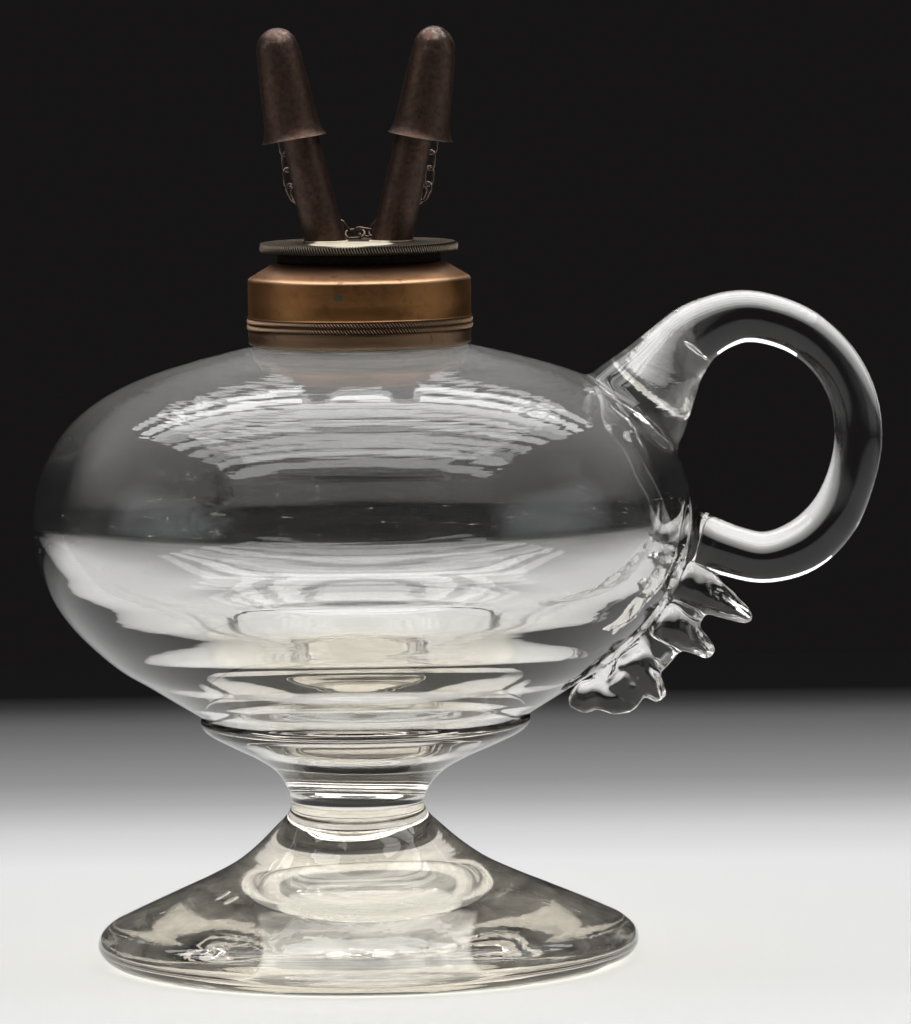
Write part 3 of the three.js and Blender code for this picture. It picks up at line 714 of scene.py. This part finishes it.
# %% [markdown]
# Clear glass is a transparent shader with a refractive index of 1.5. Old glass is never quite clear or quite
# smooth: it has a faint grey-brown tint that shows in thick places, fine level ridges from the turning, and
# light scratches round the widest part. The tint is an absorption in the volume, so that it deepens with
# thickness. The ridges are a stretched noise, flat round the lamp and fine in height. Dust and scratches take
# a little of the transmission away, which leaves a thin white film, and the rubbed hollow under the foot
# takes away more. For rays that look for a lamp the glass is simply transparent, so the light reaches the
# floor under it.

# %% Clear glass
glass_finish, tree, shader = start_material(
    "clear_glass", Transmission_Weight=1.0, IOR=1.5, Roughness=0.0, Base_Color=(1.0, 1.0, 1.0, 1)
)


def height_share(tree, low, high):
    """0 below the low height, 1 above the high one, both in mm."""
    return rising(part(place_on_object(tree), "Z"), low * mm, high * mm)


def radius_share(tree, near, far):
    """0 nearer to the lamp's axis than one radius, 1 beyond another, both in mm."""
    level = place_on_object(tree, scale=(1, 1, 0), location=(-axis_x, 0, 0))
    return rising(length_of(level), near * mm, far * mm)


on_font = maths("SUBTRACT", height_share(tree, 35, 37), radius_share(tree, 46.95, 47.6), clamp=True)
ridges = grain(tree, 1.0, 3, 0.6, stretch=(14, 14, 420))
lines = grain(tree, 1.0, 2, 0.6, stretch=(20, 20, 1500))
waves = grain(tree, 1.0, 2, stretch=(22, 22, 60))
seeds = grain(tree, 170, 3, distortion=0.6)
upper = height_share(tree, 71, 77) * 0.9 + 0.1
turning = (ridges * 0.7 + lines * 0.16) * upper
in_foot = 1.0 - height_share(tree, 10, 17)
bump(shader, turning * on_font + waves * 0.7 + seeds * 0.3 * in_foot, 0.00012)

dust = grain(tree, 60, 5, 0.6)
scratches = grain(tree, 1.0, 4, 0.75, stretch=(260, 260, 2600), rotation=(0, 0.05, 0))
scratched = ramp(scratches, [(0.665, 0.0), (0.71, 0.6)])
worn_zone = height_share(tree, 56, 60) * (1.0 - height_share(tree, 66, 70))
settled = height_share(tree, 70, 84) * (dust * 0.05 + 0.03) + height_share(tree, 83, 88) * 0.05
film = (dust * 0.008 + scratched * worn_zone + settled) * on_font

flat_part = (1.0 - height_share(tree, 0.55, 0.65)) * (1.0 - radius_share(tree, 34.5, 36.0))
flat_wear = ramp(grain(tree, 130, 6, 0.65), [(0.38, 0.02), (0.7, 0.15)])
in_hollow = height_share(tree, 0.6, 0.8) * (1.0 - height_share(tree, 7.3, 7.5))
in_hollow = in_hollow * (1.0 - radius_share(tree, 14.0, 14.3))
hollow_wear = ramp(grain(tree, 1.0, 6, 0.7, 0.8, stretch=(60, 60, 420)), [(0.36, 0.22), (0.66, 0.72)])
beside = place_on_object(tree, location=(-axis_x, 0, 0))
patch_sides = rising(maths("ABSOLUTE", part(beside, "X")), 13.9 * mm, 13.3 * mm)
patch_front = rising(part(beside, "Y"), -8 * mm, -10 * mm)
hollow_and_patch = maths("MAXIMUM", in_hollow, flat_part * (patch_sides * patch_front))
film = film + flat_wear * flat_part + hollow_wear * hollow_and_patch
link(1.0 - film, shader, "Transmission Weight")

for_lamps = add_node(tree, "ShaderNodeBsdfTransparent", {"Color": (0.93, 0.93, 0.91, 1)})
shadow_ray = add_node(tree, "ShaderNodeLightPath", output="Is Shadow Ray")
for_eyes = Field(shader.outputs["BSDF"])
absorb = add_node(tree, "ShaderNodeVolumeAbsorption", {"Color": (0.80, 0.76, 0.69, 1), "Density": 25.0})
result = tree.nodes["Material Output"]
link(add_node(tree, "ShaderNodeMixShader", {0: shadow_ray, 1: for_eyes, 2: for_lamps}), result, "Surface")
link(absorb, result, "Volume")
dress(glass, glass_finish, "glass", "lamp_glass", "foot", "stem", "font", "handle", "crimped_tail")
print("glass done")

# %% [markdown]
# The screw collar is spun from sheet brass: a skirt, a bevelled shoulder, and a sleeve inside for the
# burner's thread. The corner between skirt and bevel is rounded, because a sharp one would have no bright
# line along it. The band at its foot is milled: two rows of small slanting ridges pressed in by a wheel.
# Ridges that repeat round a ring are a job for Geometry Nodes: one small ridge is placed on each point of a
# circle.

# %% Ring of slanting ridges
tree, given = new_tree(
    "milled_ridges", Radius=0.016, Height=0.0, Count=180, Size=(0.0003, 0.0003, 0.001), Slant=0.4
)
circle = add_node(tree, "GeometryNodeMeshCircle", {"Vertices": given["Count"], "Radius": given["Radius"]})
shift = add_node(tree, "ShaderNodeCombineXYZ", {"X": axis_x, "Z": given["Height"]})
placed = add_node(tree, "GeometryNodeTransform", {"Geometry": circle, "Translation": shift})
bead = add_node(tree, "GeometryNodeMeshUVSphere", {"Segments": 8, "Rings": 5, "Radius": 0.5})
shaped = add_node(tree, "GeometryNodeTransform", {"Geometry": bead, "Scale": given["Size"]})
facing = add_node(tree, "GeometryNodeInputIndex") * maths("DIVIDE", 2 * math.pi, given["Count"])
turn = add_node(tree, "ShaderNodeCombineXYZ", {"X": given["Slant"], "Z": facing})
on_points = {"Points": placed, "Instance": shaped, "Rotation": turn}
ridge_tree = end_tree(tree, given, add_node(tree, "GeometryNodeInstanceOnPoints", on_points))


def ring_of_ridges(name, radius, height, count, size, slant):
    carrier = mesh_object(name, [(0, 0, 0)], [], [])
    sizes = {"Radius": radius * mm, "Height": height * mm, "Size": [s * mm for s in size]}
    return run_tree(ridge_tree, carrier, Count=count, Slant=slant, **sizes)


# %% Screw collar
collar_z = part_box("screw_collar")[0].z / mm
collar_profile = [
    (15.62, 0.0), (15.74, 0.1), (15.82, 0.45), (15.8, 0.9), (15.84, 1.7), (15.86, 1.97), (15.79, 2.05),
    (15.79, 2.8), (15.79, 3.76), (15.93, 3.82), (15.95, 3.88), (15.9, 3.95), (15.83, 4.05), (15.83, 6.2),
    (15.83, 8.98), (15.8, 9.14), (15.72, 9.29), (15.58, 9.43), (15.4, 9.55), (14.6, 10.03), (13.4, 10.75),
    (12.35, 11.38), (12.1, 11.54), (11.7, 11.6), (11.28, 11.58), (11.2, 11.5), (11.2, 5.05), (11.5, 5.05),
    (11.5, 10.9), (12.3, 10.8), (15.0, 9.0), (15.23, 8.7), (15.23, 0.06), (15.4, 0.0),
]
collar_outline = [(radius, collar_z + height) for radius, height in collar_profile]
collar_pieces = [turned("collar_shell", collar_outline, 192, closed=True)]
for height in (3.35, 2.5):
    collar_pieces.append(ring_of_ridges("ridge_row", 15.87, collar_z + height, 216, (0.38, 0.21, 1.0), 0.72))
collar = join_into("collar", collar_pieces)
set_smooth(collar, 50)
print("collar:", triangles(collar), "triangles")

# %% [markdown]
# Brass that has stood for a century and a half is brown, not yellow. The tarnish is thin and uneven: a wide
# noise moves the colour between warm and dull brown, a fine one breaks it up, and the milled band is a
# dirtier, greyer brown. In the band, painted shade darkens the grooves and a painted highlight lightens the
# crests. One small spot of green corrosion sits on the front of the skirt. A painted highlight makes the
# rounded corner lighter than the wall below it, and the bevel gets a painted tone for how the soft box
# lights its top face.

# %% Old brass
def old_brass(name, warm, dull, dark, roughness, patch=90, relief=0.00004):
    """A tarnished metal: returns its material, graph, shader and colour, so that more can be laid over it."""
    material, tree, shader = start_material(name, Metallic=1.0)
    wide = ramp(grain(tree, patch, 5, 0.6, 0.4), [(0.35, 0.0), (0.68, 1.0)])
    spots = ramp(grain(tree, patch * 3.5, 6, 0.7), [(0.52, 0.0), (0.75, 0.75)])
    small = grain(tree, 900, 3)
    colour = laid_over(mixed(wide, warm, dull), (spots, dark), (small * 0.35, dark))
    low, high = roughness
    link(wide * (high - low) + low, shader, "Roughness")
    bump(shader, small + grain(tree, 1.0, 2, stretch=(160, 160, 1500)) * 0.5, relief, 0.5)
    return material, tree, shader, colour


def spot_share(tree, centre, size, edge):
    """1 inside an ellipsoid round a point, given in mm from the lamp's axis, falling to 0 outside it."""
    scale = [1 / (s * mm) for s in size]
    location = [-c * s for c, s in zip(from_axis([centre])[0], scale)]
    return rising(length_of(place_on_object(tree, scale, location)), 1 + edge / 2, 1 - edge / 2)


def collar_share(low, high):
    """0 below the low height, 1 above the high one, both in mm from the foot of the collar."""
    return height_share(collar_finish.node_tree, collar_z + low, collar_z + high)


collar_finish, tree, shader, colour = old_brass(
    "collar_brass", (0.40, 0.19, 0.066), (0.30, 0.14, 0.055), (0.13, 0.062, 0.03), (0.36, 0.50),
    relief=0.00007,
)
# Painted shade in the milled grooves; painted highlights on the crests and corner; a painted bevel tone.
band = 1.0 - collar_share(3.75, 4.05)
rows = band * collar_share(2.02, 2.1)
groove_shade = rows * (1.0 - radius_share(tree, 15.84, 15.94))
crest_highlight = rows * radius_share(tree, 15.97, 16.04)
bevel = collar_share(9.5, 10.2)
corner_highlight = maths("SUBTRACT", collar_share(9.0, 9.12), collar_share(9.42, 9.7), clamp=True)
specks = ramp(grain(tree, 620, 4, 0.6), [(0.63, 0.0), (0.69, 0.4)])
green = spot_share(tree, (-2.75, -15.6, collar_z + 7.25), (0.6, 0.8, 0.55), 0.6)
colour = laid_over(
    colour,
    (band * 0.8, (0.20, 0.135, 0.09)),
    (groove_shade * 0.85, (0.055, 0.035, 0.022)),
    (crest_highlight * 0.8, (0.48, 0.34, 0.23)),
    (bevel * 0.7, (0.36, 0.22, 0.145)),
    (corner_highlight * 0.75, (0.74, 0.47, 0.29)),
    (specks, (0.05, 0.03, 0.018)),
    (green * 0.8, (0.10, 0.13, 0.10)),
)
link(colour, shader, "Base Color")
dress(collar, collar_finish, "collar_brass", "lamp_glass", "screw_collar")
print("collar brass done")

# %% [markdown]
# The burner plate is a flat brass disc with a milled edge that fingers can grip. Its ridges slant, and each
# is a little proud of the disc. The two tubes are soldered into it, so a small fillet of solder runs round
# the foot of each. A pale cream patch in front of them is a painted highlight, and the milled edge has
# painted shade in its grooves and a painted highlight on its crests.

# %% Burner plate
tube_spread, tube_lean = 4.67, 13
plate_outline = [
    (0.0, plate_z), (7.0, plate_z), (13.2, plate_z), (13.72, plate_z + 0.1), (13.9, plate_z + 0.3),
    (13.9, top_z - 0.28), (13.78, top_z - 0.1), (13.45, top_z), (12.0, top_z - 0.02), (7.0, top_z - 0.03),
    (0.0, top_z - 0.03),
]
plate_pieces = [turned("plate_disc", plate_outline, 192)]
plate_pieces.append(ring_of_ridges("plate_edge", 13.86, (plate_z + top_z) / 2, 212, (0.48, 0.27, 1.46), 0.42))
for side in (-1, 1):
    angles = [2 * math.pi * k / 48 for k in range(49)]
    fillet = [(side * tube_spread + 3.0 * math.cos(a), 2.9 * math.sin(a), top_z - 0.02, 0.26) for a in angles]
    plate_pieces.append(make_rod("solder", fillet, 10))
plate = join_into("plate", plate_pieces)
set_smooth(plate, 45)

plate_finish, tree, shader, colour = old_brass(
    "plate_brass", (0.21, 0.17, 0.125), (0.14, 0.115, 0.09), (0.05, 0.04, 0.032), (0.36, 0.5), patch=160
)
# Painted shade in the edge's grooves, a painted highlight on its crests, and a painted highlight patch on
# top.
groove_shade = radius_share(tree, 13.6, 13.75) * (1.0 - radius_share(tree, 13.92, 14.03))
crest_highlight = radius_share(tree, 14.0, 14.09)
painted_highlight_patch = spot_share(tree, (-1.0, -6.4, top_z), (5.9, 7.4, 0.9), 0.12)
highlight_mottle = ramp(grain(tree, 420, 5), [(0.3, 0.75), (0.6, 1.0)])
colour = laid_over(
    colour,
    (groove_shade * 0.9, (0.018, 0.014, 0.011)),
    (crest_highlight * 0.8, (0.46, 0.38, 0.29)),
    (painted_highlight_patch * highlight_mottle, (1.0, 0.90, 0.70)),
)
link(colour, shader, "Base Color")
link(1.0 - painted_highlight_patch, shader, "Metallic")
dress(plate, plate_finish, "plate_brass", "burner", "burner_plate")
print("burner plate:", triangles(plate), "triangles")

# %% [markdown]
# The screw under the plate is a sleeve with a right-hand thread. A thread follows a rule: its crest rises one
# pitch in each turn. So a plain turned sleeve goes through a Geometry Nodes tree that reads each point's
# angle and height, and pushes it outwards where the crest passes.

# %% Thread by rule
tree, given = new_tree("thread_by_rule", Pitch=0.00127, Depth=0.0005)
place = add_node(tree, "GeometryNodeInputPosition")
angle = maths("ARCTAN2", part(place, "Y"), part(place, "X") - axis_x)
climb = maths("DIVIDE", part(place, "Z"), given["Pitch"]) * (2 * math.pi)
crest = maths("COSINE", climb - angle) * 0.5 + 0.5
share = add_node(tree, "GeometryNodeInputNamedAttribute", {"Name": "thread_share"}, data_type="FLOAT")
push = crest * (share * given["Depth"])
outwards = {"X": push * maths("COSINE", angle), "Y": push * maths("SINE", angle)}
offset = add_node(tree, "ShaderNodeCombineXYZ", outwards)
moved = add_node(tree, "GeometryNodeSetPosition", {"Geometry": given["Geometry"], "Offset": offset})
thread_tree = end_tree(tree, given, moved)

# %% Burner screw
screw_core, screw_neck, screw_bore = 10.4, 9.5, 8.9
screw_end, neck_start = plate_z - 4.85, plate_z - 1.15
thread_start = screw_end + 0.02
thread_rows, runout = 40, 0.5
screw_outline = [(screw_bore, screw_end), (screw_core - 0.25, screw_end)]
for k in range(thread_rows + 1):
    screw_outline.append((screw_core, thread_start + (neck_start - thread_start) * k / thread_rows))
screw_outline += [(screw_neck, neck_start + 0.12), (screw_neck, plate_z), (screw_bore, plate_z)]
sleeve = turned("screw", screw_outline, 144, closed=True)
shares = []
for vertex in sleeve.data.vertices:
    radius = math.hypot(vertex.co.x - axis_x, vertex.co.y) / mm
    from_end = min(vertex.co.z / mm - screw_end, neck_start - vertex.co.z / mm)
    shares.append(min(max(from_end / runout, 0.0), 1.0) if abs(radius - screw_core) < 0.05 else 0.0)
attribute = sleeve.data.attributes.new("thread_share", "FLOAT", "POINT")
attribute.data.foreach_set("value", shares)
screw = run_tree(thread_tree, sleeve, Material=plate_finish)
set_smooth(screw, 50)
dress(screw, plate_finish, "plate_brass", "burner", "burner_screw")
print("burner screw:", triangles(screw), "triangles")

# %% [markdown]
# Tubes and caps are turned on their own leaning axes. A helper stands a turned form on a point and leans it
# out to its side. The caps were pressed from thin sheet: a flared rim, a skirt that is a little hollow, and a
# round crown. Both have been knocked about, so the crowns are dented and the rims aren't quite round.

# %% Tubes and caps
cap_lean, cap_spread, cap_z = 9.7, 8.91, 117.08


def leaned(piece, side, degrees, spread, z):
    """Moves a form turned about the lamp's axis out to its side, up to a height, and leans it outwards."""
    to_axis = Matrix.Translation((-axis_x, 0, 0))
    lean = Matrix.Rotation(side * math.radians(degrees), 4, "Y")
    stand = Matrix.Translation(from_axis([(side * spread, 0, z)])[0])
    piece.data.transform(stand @ lean @ to_axis)


dark_finish, tree, shader, colour = old_brass(
    "dark_brass", (0.155, 0.088, 0.062), (0.085, 0.056, 0.046), (0.032, 0.022, 0.019), (0.42, 0.56),
    patch=330, relief=0.00016,
)
shader.inputs["Coat Weight"].default_value = 0.15
shader.inputs["Coat Roughness"].default_value = 0.4
pits = ramp(grain(tree, 1500, 4, 0.7), [(0.38, 0.42), (0.56, 0.0)])
worn = ramp(grain(tree, 700, 4, 0.7), [(0.5, 0.0), (0.72, 0.8)])
worn_top = height_share(tree, 128.5, 132.2) * worn
colour = laid_over(colour, (pits, (0.03, 0.018, 0.015)), (worn_top, (0.38, 0.33, 0.29)))
link(colour, shader, "Base Color")

tube_side = [(2.86, -0.6), (2.93, 0.6), (2.88, 2.2), (2.58, 14.7), (2.22, 28.6), (2.2, 29.3)]
tube_outline = [
    *smooth_run([(2.83, -6.5), (2.83, -3.0), (2.86, -0.6)], 0.8)[:-1], *smooth_run(tube_side, 0.8),
    (2.1, 29.42), (1.9, 29.42), (1.82, 29.3),
    *smooth_run([(1.82, 29.2), (2.12, 14.7), (2.43, 0.0), (2.43, -6.5)], 1.6),
]
cap_skirt = [
    (4.69, 0.0), (4.5, 0.22), (4.2, 0.85), (3.95, 1.9), (3.8, 3.2), (3.62, 5.9), (3.36, 9.4), (3.1, 12.0),
    (2.97, 13.0),
]
cap_crown = [(2.97, 13.0), (2.8, 13.85), (2.42, 14.62), (1.9, 15.2), (1.25, 15.62), (0.6, 15.85), (0.0, 15.9)]
cap_inside = [
    (0.0, 15.4), (1.0, 15.2), (1.8, 14.6), (2.4, 13.6), (2.99, 9.4), (3.27, 5.9), (3.48, 2.9), (3.76, 1.2),
    (4.15, 0.3), (4.5, -0.03),
]
cap_outline = smooth_run(cap_skirt, 0.35)[:-1] + smooth_run(cap_crown, 0.25) + cap_inside
# For each side: the place of the dent in the crown, its depth and its spread
dents = {-1: (0.8, -1.3, 0.14, 0.5), 1: (1.9, -0.6, 0.5, 0.9)}


def cap_shape(side):
    dent_x, dent_y, depth, spread = dents[side]

    def shape(x, y, z):
        rim = ease(1 - z / 2.5)
        crown = ease((z - 11.5) / 4.0)
        around = math.atan2(y, x)
        knock = noise.noise(Vector((x * 0.22 + side * 7, y * 0.22, z * 0.12)))
        out = 1 + 0.012 * rim * math.sin(3 * around + side) + 0.02 * knock * (0.4 + crown)
        dent = depth * crown * math.exp(-((x - dent_x) ** 2 + (y - dent_y) ** 2) / spread)
        return x * out, y * out, z - dent + 0.06 * rim * math.sin(2 * around + side)

    return shape


def tube_shape(x, y, z):
    swell = 1 + 0.006 * noise.noise(Vector((x * 0.3, y * 0.3, z * 0.12)))
    return x * swell, y * swell, z


for hand, side in (("left", -1), ("right", 1)):
    tube = turned(f"{hand}_tube", tube_outline, 72, tube_shape, closed=True)
    leaned(tube, side, tube_lean, tube_spread, top_z)
    set_smooth(tube, 50)
    dress(tube, dark_finish, "dark_brass", "burner", f"{hand}_wick_tube")
    cap = turned(f"{hand}_cap", cap_outline, 96, cap_shape(side), closed=True)
    leaned(cap, side, cap_lean, cap_spread, cap_z)
    set_smooth(cap, 60)
    dress(cap, dark_finish, "dark_brass", f"{hand}_cap", f"{hand}_snuffer_cap")
print("tubes and caps done:", triangles(cap), "triangles a cap")

# %% [markdown]
# The chain is made of small links bent from wire. A link is an oval ring, and all links are alike, so one
# tree makes the ring and places it on points that carry each link's turn. The CAD model already says where
# each link hangs: its middle, its long direction and its flat side are read from its solid.

# %% Chain links
tree, given = new_tree("chain_links", Wire=0.00018, Bow=0.00082, Half_Straight=0.00055)
circle = add_node(tree, "GeometryNodeCurvePrimitiveCircle", {"Resolution": 28, "Radius": given["Bow"]})
upright = add_node(tree, "GeometryNodeTransform", {"Geometry": circle, "Rotation": (math.pi / 2, 0, 0)})
end = maths("SIGN", part(add_node(tree, "GeometryNodeInputPosition"), "Z") + 1e-7)
pull = add_node(tree, "ShaderNodeCombineXYZ", {"Z": end * given["Half_Straight"]})
oval = add_node(tree, "GeometryNodeSetPosition", {"Geometry": upright, "Offset": pull})
wire = add_node(tree, "GeometryNodeCurvePrimitiveCircle", {"Resolution": 10, "Radius": given["Wire"]})
link_ring = add_node(tree, "GeometryNodeCurveToMesh", {"Curve": oval, "Profile Curve": wire})
turn = add_node(tree, "GeometryNodeInputNamedAttribute", {"Name": "link_turn"}, data_type="FLOAT_VECTOR")
on_points = {"Points": given["Geometry"], "Instance": link_ring, "Rotation": turn}
link_tree = end_tree(tree, given, add_node(tree, "GeometryNodeInstanceOnPoints", on_points))

chain_finish, tree, shader, colour = old_brass(
    "chain_brass", (0.27, 0.19, 0.145), (0.18, 0.13, 0.105), (0.07, 0.05, 0.04), (0.28, 0.4), patch=500
)
link(colour, shader, "Base Color")


def link_place(node):
    """The middle of a link's solid and its turn, from its own principal directions."""
    points = np.array([v.co for v in frame["nodes"][node].data.vertices], float).reshape(-1, 3)
    middle = points.mean(0)
    _, _, directions = np.linalg.svd(points - middle, full_matrices=False)
    across, flat = Vector(directions[1]), Vector(directions[2])
    return tuple(middle), Matrix((across, flat, across.cross(flat))).transposed().to_euler()


link_count = 0
for body, members in frame["record"]["behaviour"]["bodies"].items():
    nodes = [name for name in members if "link" in name]
    if nodes:
        places = [link_place(node) for node in nodes]
        carrier = mesh_object(f"links_{body}", [middle for middle, _ in places], [], [])
        turns = carrier.data.attributes.new("link_turn", "FLOAT_VECTOR", "POINT")
        turns.data.foreach_set("vector", [angle for _, turn in places for angle in turn])
        links = run_tree(link_tree, carrier, Material=chain_finish)
        face_outwards(links)
        links.data.shade_smooth()
        dress(links, chain_finish, "chain_brass", body, *nodes)
        link_count += len(nodes)
print("chain:", link_count, "links")

# %% [markdown]
# Wire loops, plaster and washer keep the shape that they have in the frame. The solids of the loops and the
# plaster have few faces, so each is copied and its doubles are merged. The wire then gets a subdivision
# surface, which makes it round. The washer is turned.

# %% Loops, washer and plaster
def smoothed_copy(name, node, levels, degrees):
    piece = link_object(name, frame["nodes"][node].data.copy())
    work = bmesh.new()
    work.from_mesh(piece.data)
    bmesh.ops.remove_doubles(work, verts=work.verts, dist=1e-7)
    bmesh.ops.dissolve_limit(work, angle_limit=math.radians(0.5), verts=work.verts, edges=work.edges)
    work.to_mesh(piece.data)
    work.free()
    if levels:
        rounding = piece.modifiers.new("rounding", "SUBSURF")
        rounding.levels = rounding.render_levels = levels
        apply_modifiers(piece)
    set_smooth(piece, degrees)
    return piece


for node, body, slot, material in (
    ("chain_staple", "burner", "chain_brass", chain_finish),
    ("left_cap_eye", "left_cap", "dark_brass", dark_finish),
    ("right_cap_eye", "right_cap", "dark_brass", dark_finish),
):
    dress(smoothed_copy(f"{node}_wire", node, 2, 60), material, slot, body, node)

# Dark old leather for the washer, made near black by painted shade for the shadow under the burner plate.
leather_and_shade_finish, tree, shader = start_material("old_leather_and_shade", Roughness=0.95, Specular_IOR_Level=0.1)
hide = grain(tree, 1300, 6, 0.65)
link(ramp(hide, [(0.3, (0.006, 0.004, 0.003)), (0.7, (0.018, 0.012, 0.009))]), shader, "Base Color")
bump(shader, hide, 0.00015, 0.8)

plaster_finish, tree, shader = start_material("old_plaster", Roughness=0.95)
chalk = grain(tree, 700, 6, 0.7)
stain = ramp(grain(tree, 120), [(0.35, (0.52, 0.46, 0.36)), (0.65, (0.36, 0.29, 0.21))])
link(mixed(chalk * 0.4, stain, (0.62, 0.57, 0.48)), shader, "Base Color")
bump(shader, chalk, 0.0002, 0.7)

washer_low, washer_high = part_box("leather_washer")
low, high = washer_low.z / mm, washer_high.z / mm
outer = (washer_high.x - washer_low.x) / 2 / mm
inner = outer - 1.8
washer_outline = [
    (inner, low + 0.12), (inner + 0.12, low), (outer - 0.15, low), (outer, low + 0.2),
    (outer - 0.04, (low + high) / 2), (outer, high - 0.2), (outer - 0.15, high), (inner + 0.12, high),
    (inner, high - 0.12),
]
washer = turned("washer_leather", washer_outline, 144, closed=True)
set_smooth(washer, 60)
dress(washer, leather_and_shade_finish, "leather", "washer", "leather_washer")
plaster = smoothed_copy("plaster_ring", "plaster_bed", 0, 40)
dress(plaster, plaster_finish, "plaster", "lamp_glass", "plaster_bed")
print("washer and plaster done")

# %% [markdown]
# The wicks are round braided cotton. A braid is two sets of strands that wind left and right and pass over
# each other in turn. Each strand is a rod along a path whose distance from the middle rises and falls as it
# goes over and under. The tips are charred, because these wicks have burned.

# %% Wicks
cotton_finish, tree, shader = start_material("braided_cotton", Roughness=0.95, Sheen_Weight=0.3)
lint = grain(tree, 2600)
cotton = ramp(lint, [(0.3, (0.50, 0.42, 0.30)), (0.7, (0.70, 0.62, 0.47))])
charred = height_share(tree, 127.2, 128.5)
link(mixed(charred, cotton, (0.02, 0.017, 0.015)), shader, "Base Color")
bump(shader, lint, 0.0001, 0.8)

wick_foot, wick_top, wick_radius = -6.2, 26.9, 1.5
strand_radius, strand_margin, strand_points, weave = 0.4, 0.45, 150, 0.1
strands, lay = 4, 9.0


def strand_path(way, number):
    """The path of one strand, which winds left or right (way -1 or 1)."""
    path = []
    for i in range(strand_points):
        up = strand_margin + (wick_top - wick_foot - 2 * strand_margin) * i / (strand_points - 1)
        winding = 2 * math.pi * up / lay
        angle = way * winding + 2 * math.pi * number / strands
        over = math.cos(strands * winding + (0 if way > 0 else math.pi))
        radius = wick_radius - 0.52 + weave * over
        path.append((radius * math.cos(angle), radius * math.sin(angle), wick_foot + up, strand_radius))
    return path


for hand, side in (("left", -1), ("right", 1)):
    pieces = [make_rod("strand", strand_path(way, k), 7) for way in (-1, 1) for k in range(strands)]
    core = [(0.0, 0.0, wick_foot + 0.2, 0.85), (0.0, 0.0, 10.0, 0.85), (0.0, 0.0, wick_top - 0.3, 0.8)]
    pieces.append(make_rod("core", core, 16))
    wick = join_into(f"{hand}_wick_braid", pieces)
    leaned(wick, side, tube_lean, tube_spread, top_z)
    wick.data.shade_smooth()
    dress(wick, cotton_finish, "cotton", f"{hand}_wick_body", f"{hand}_wick")
print("wicks done:", triangles(wick), "triangles each")

# %% [markdown]

# %% End
print("all pieces made")
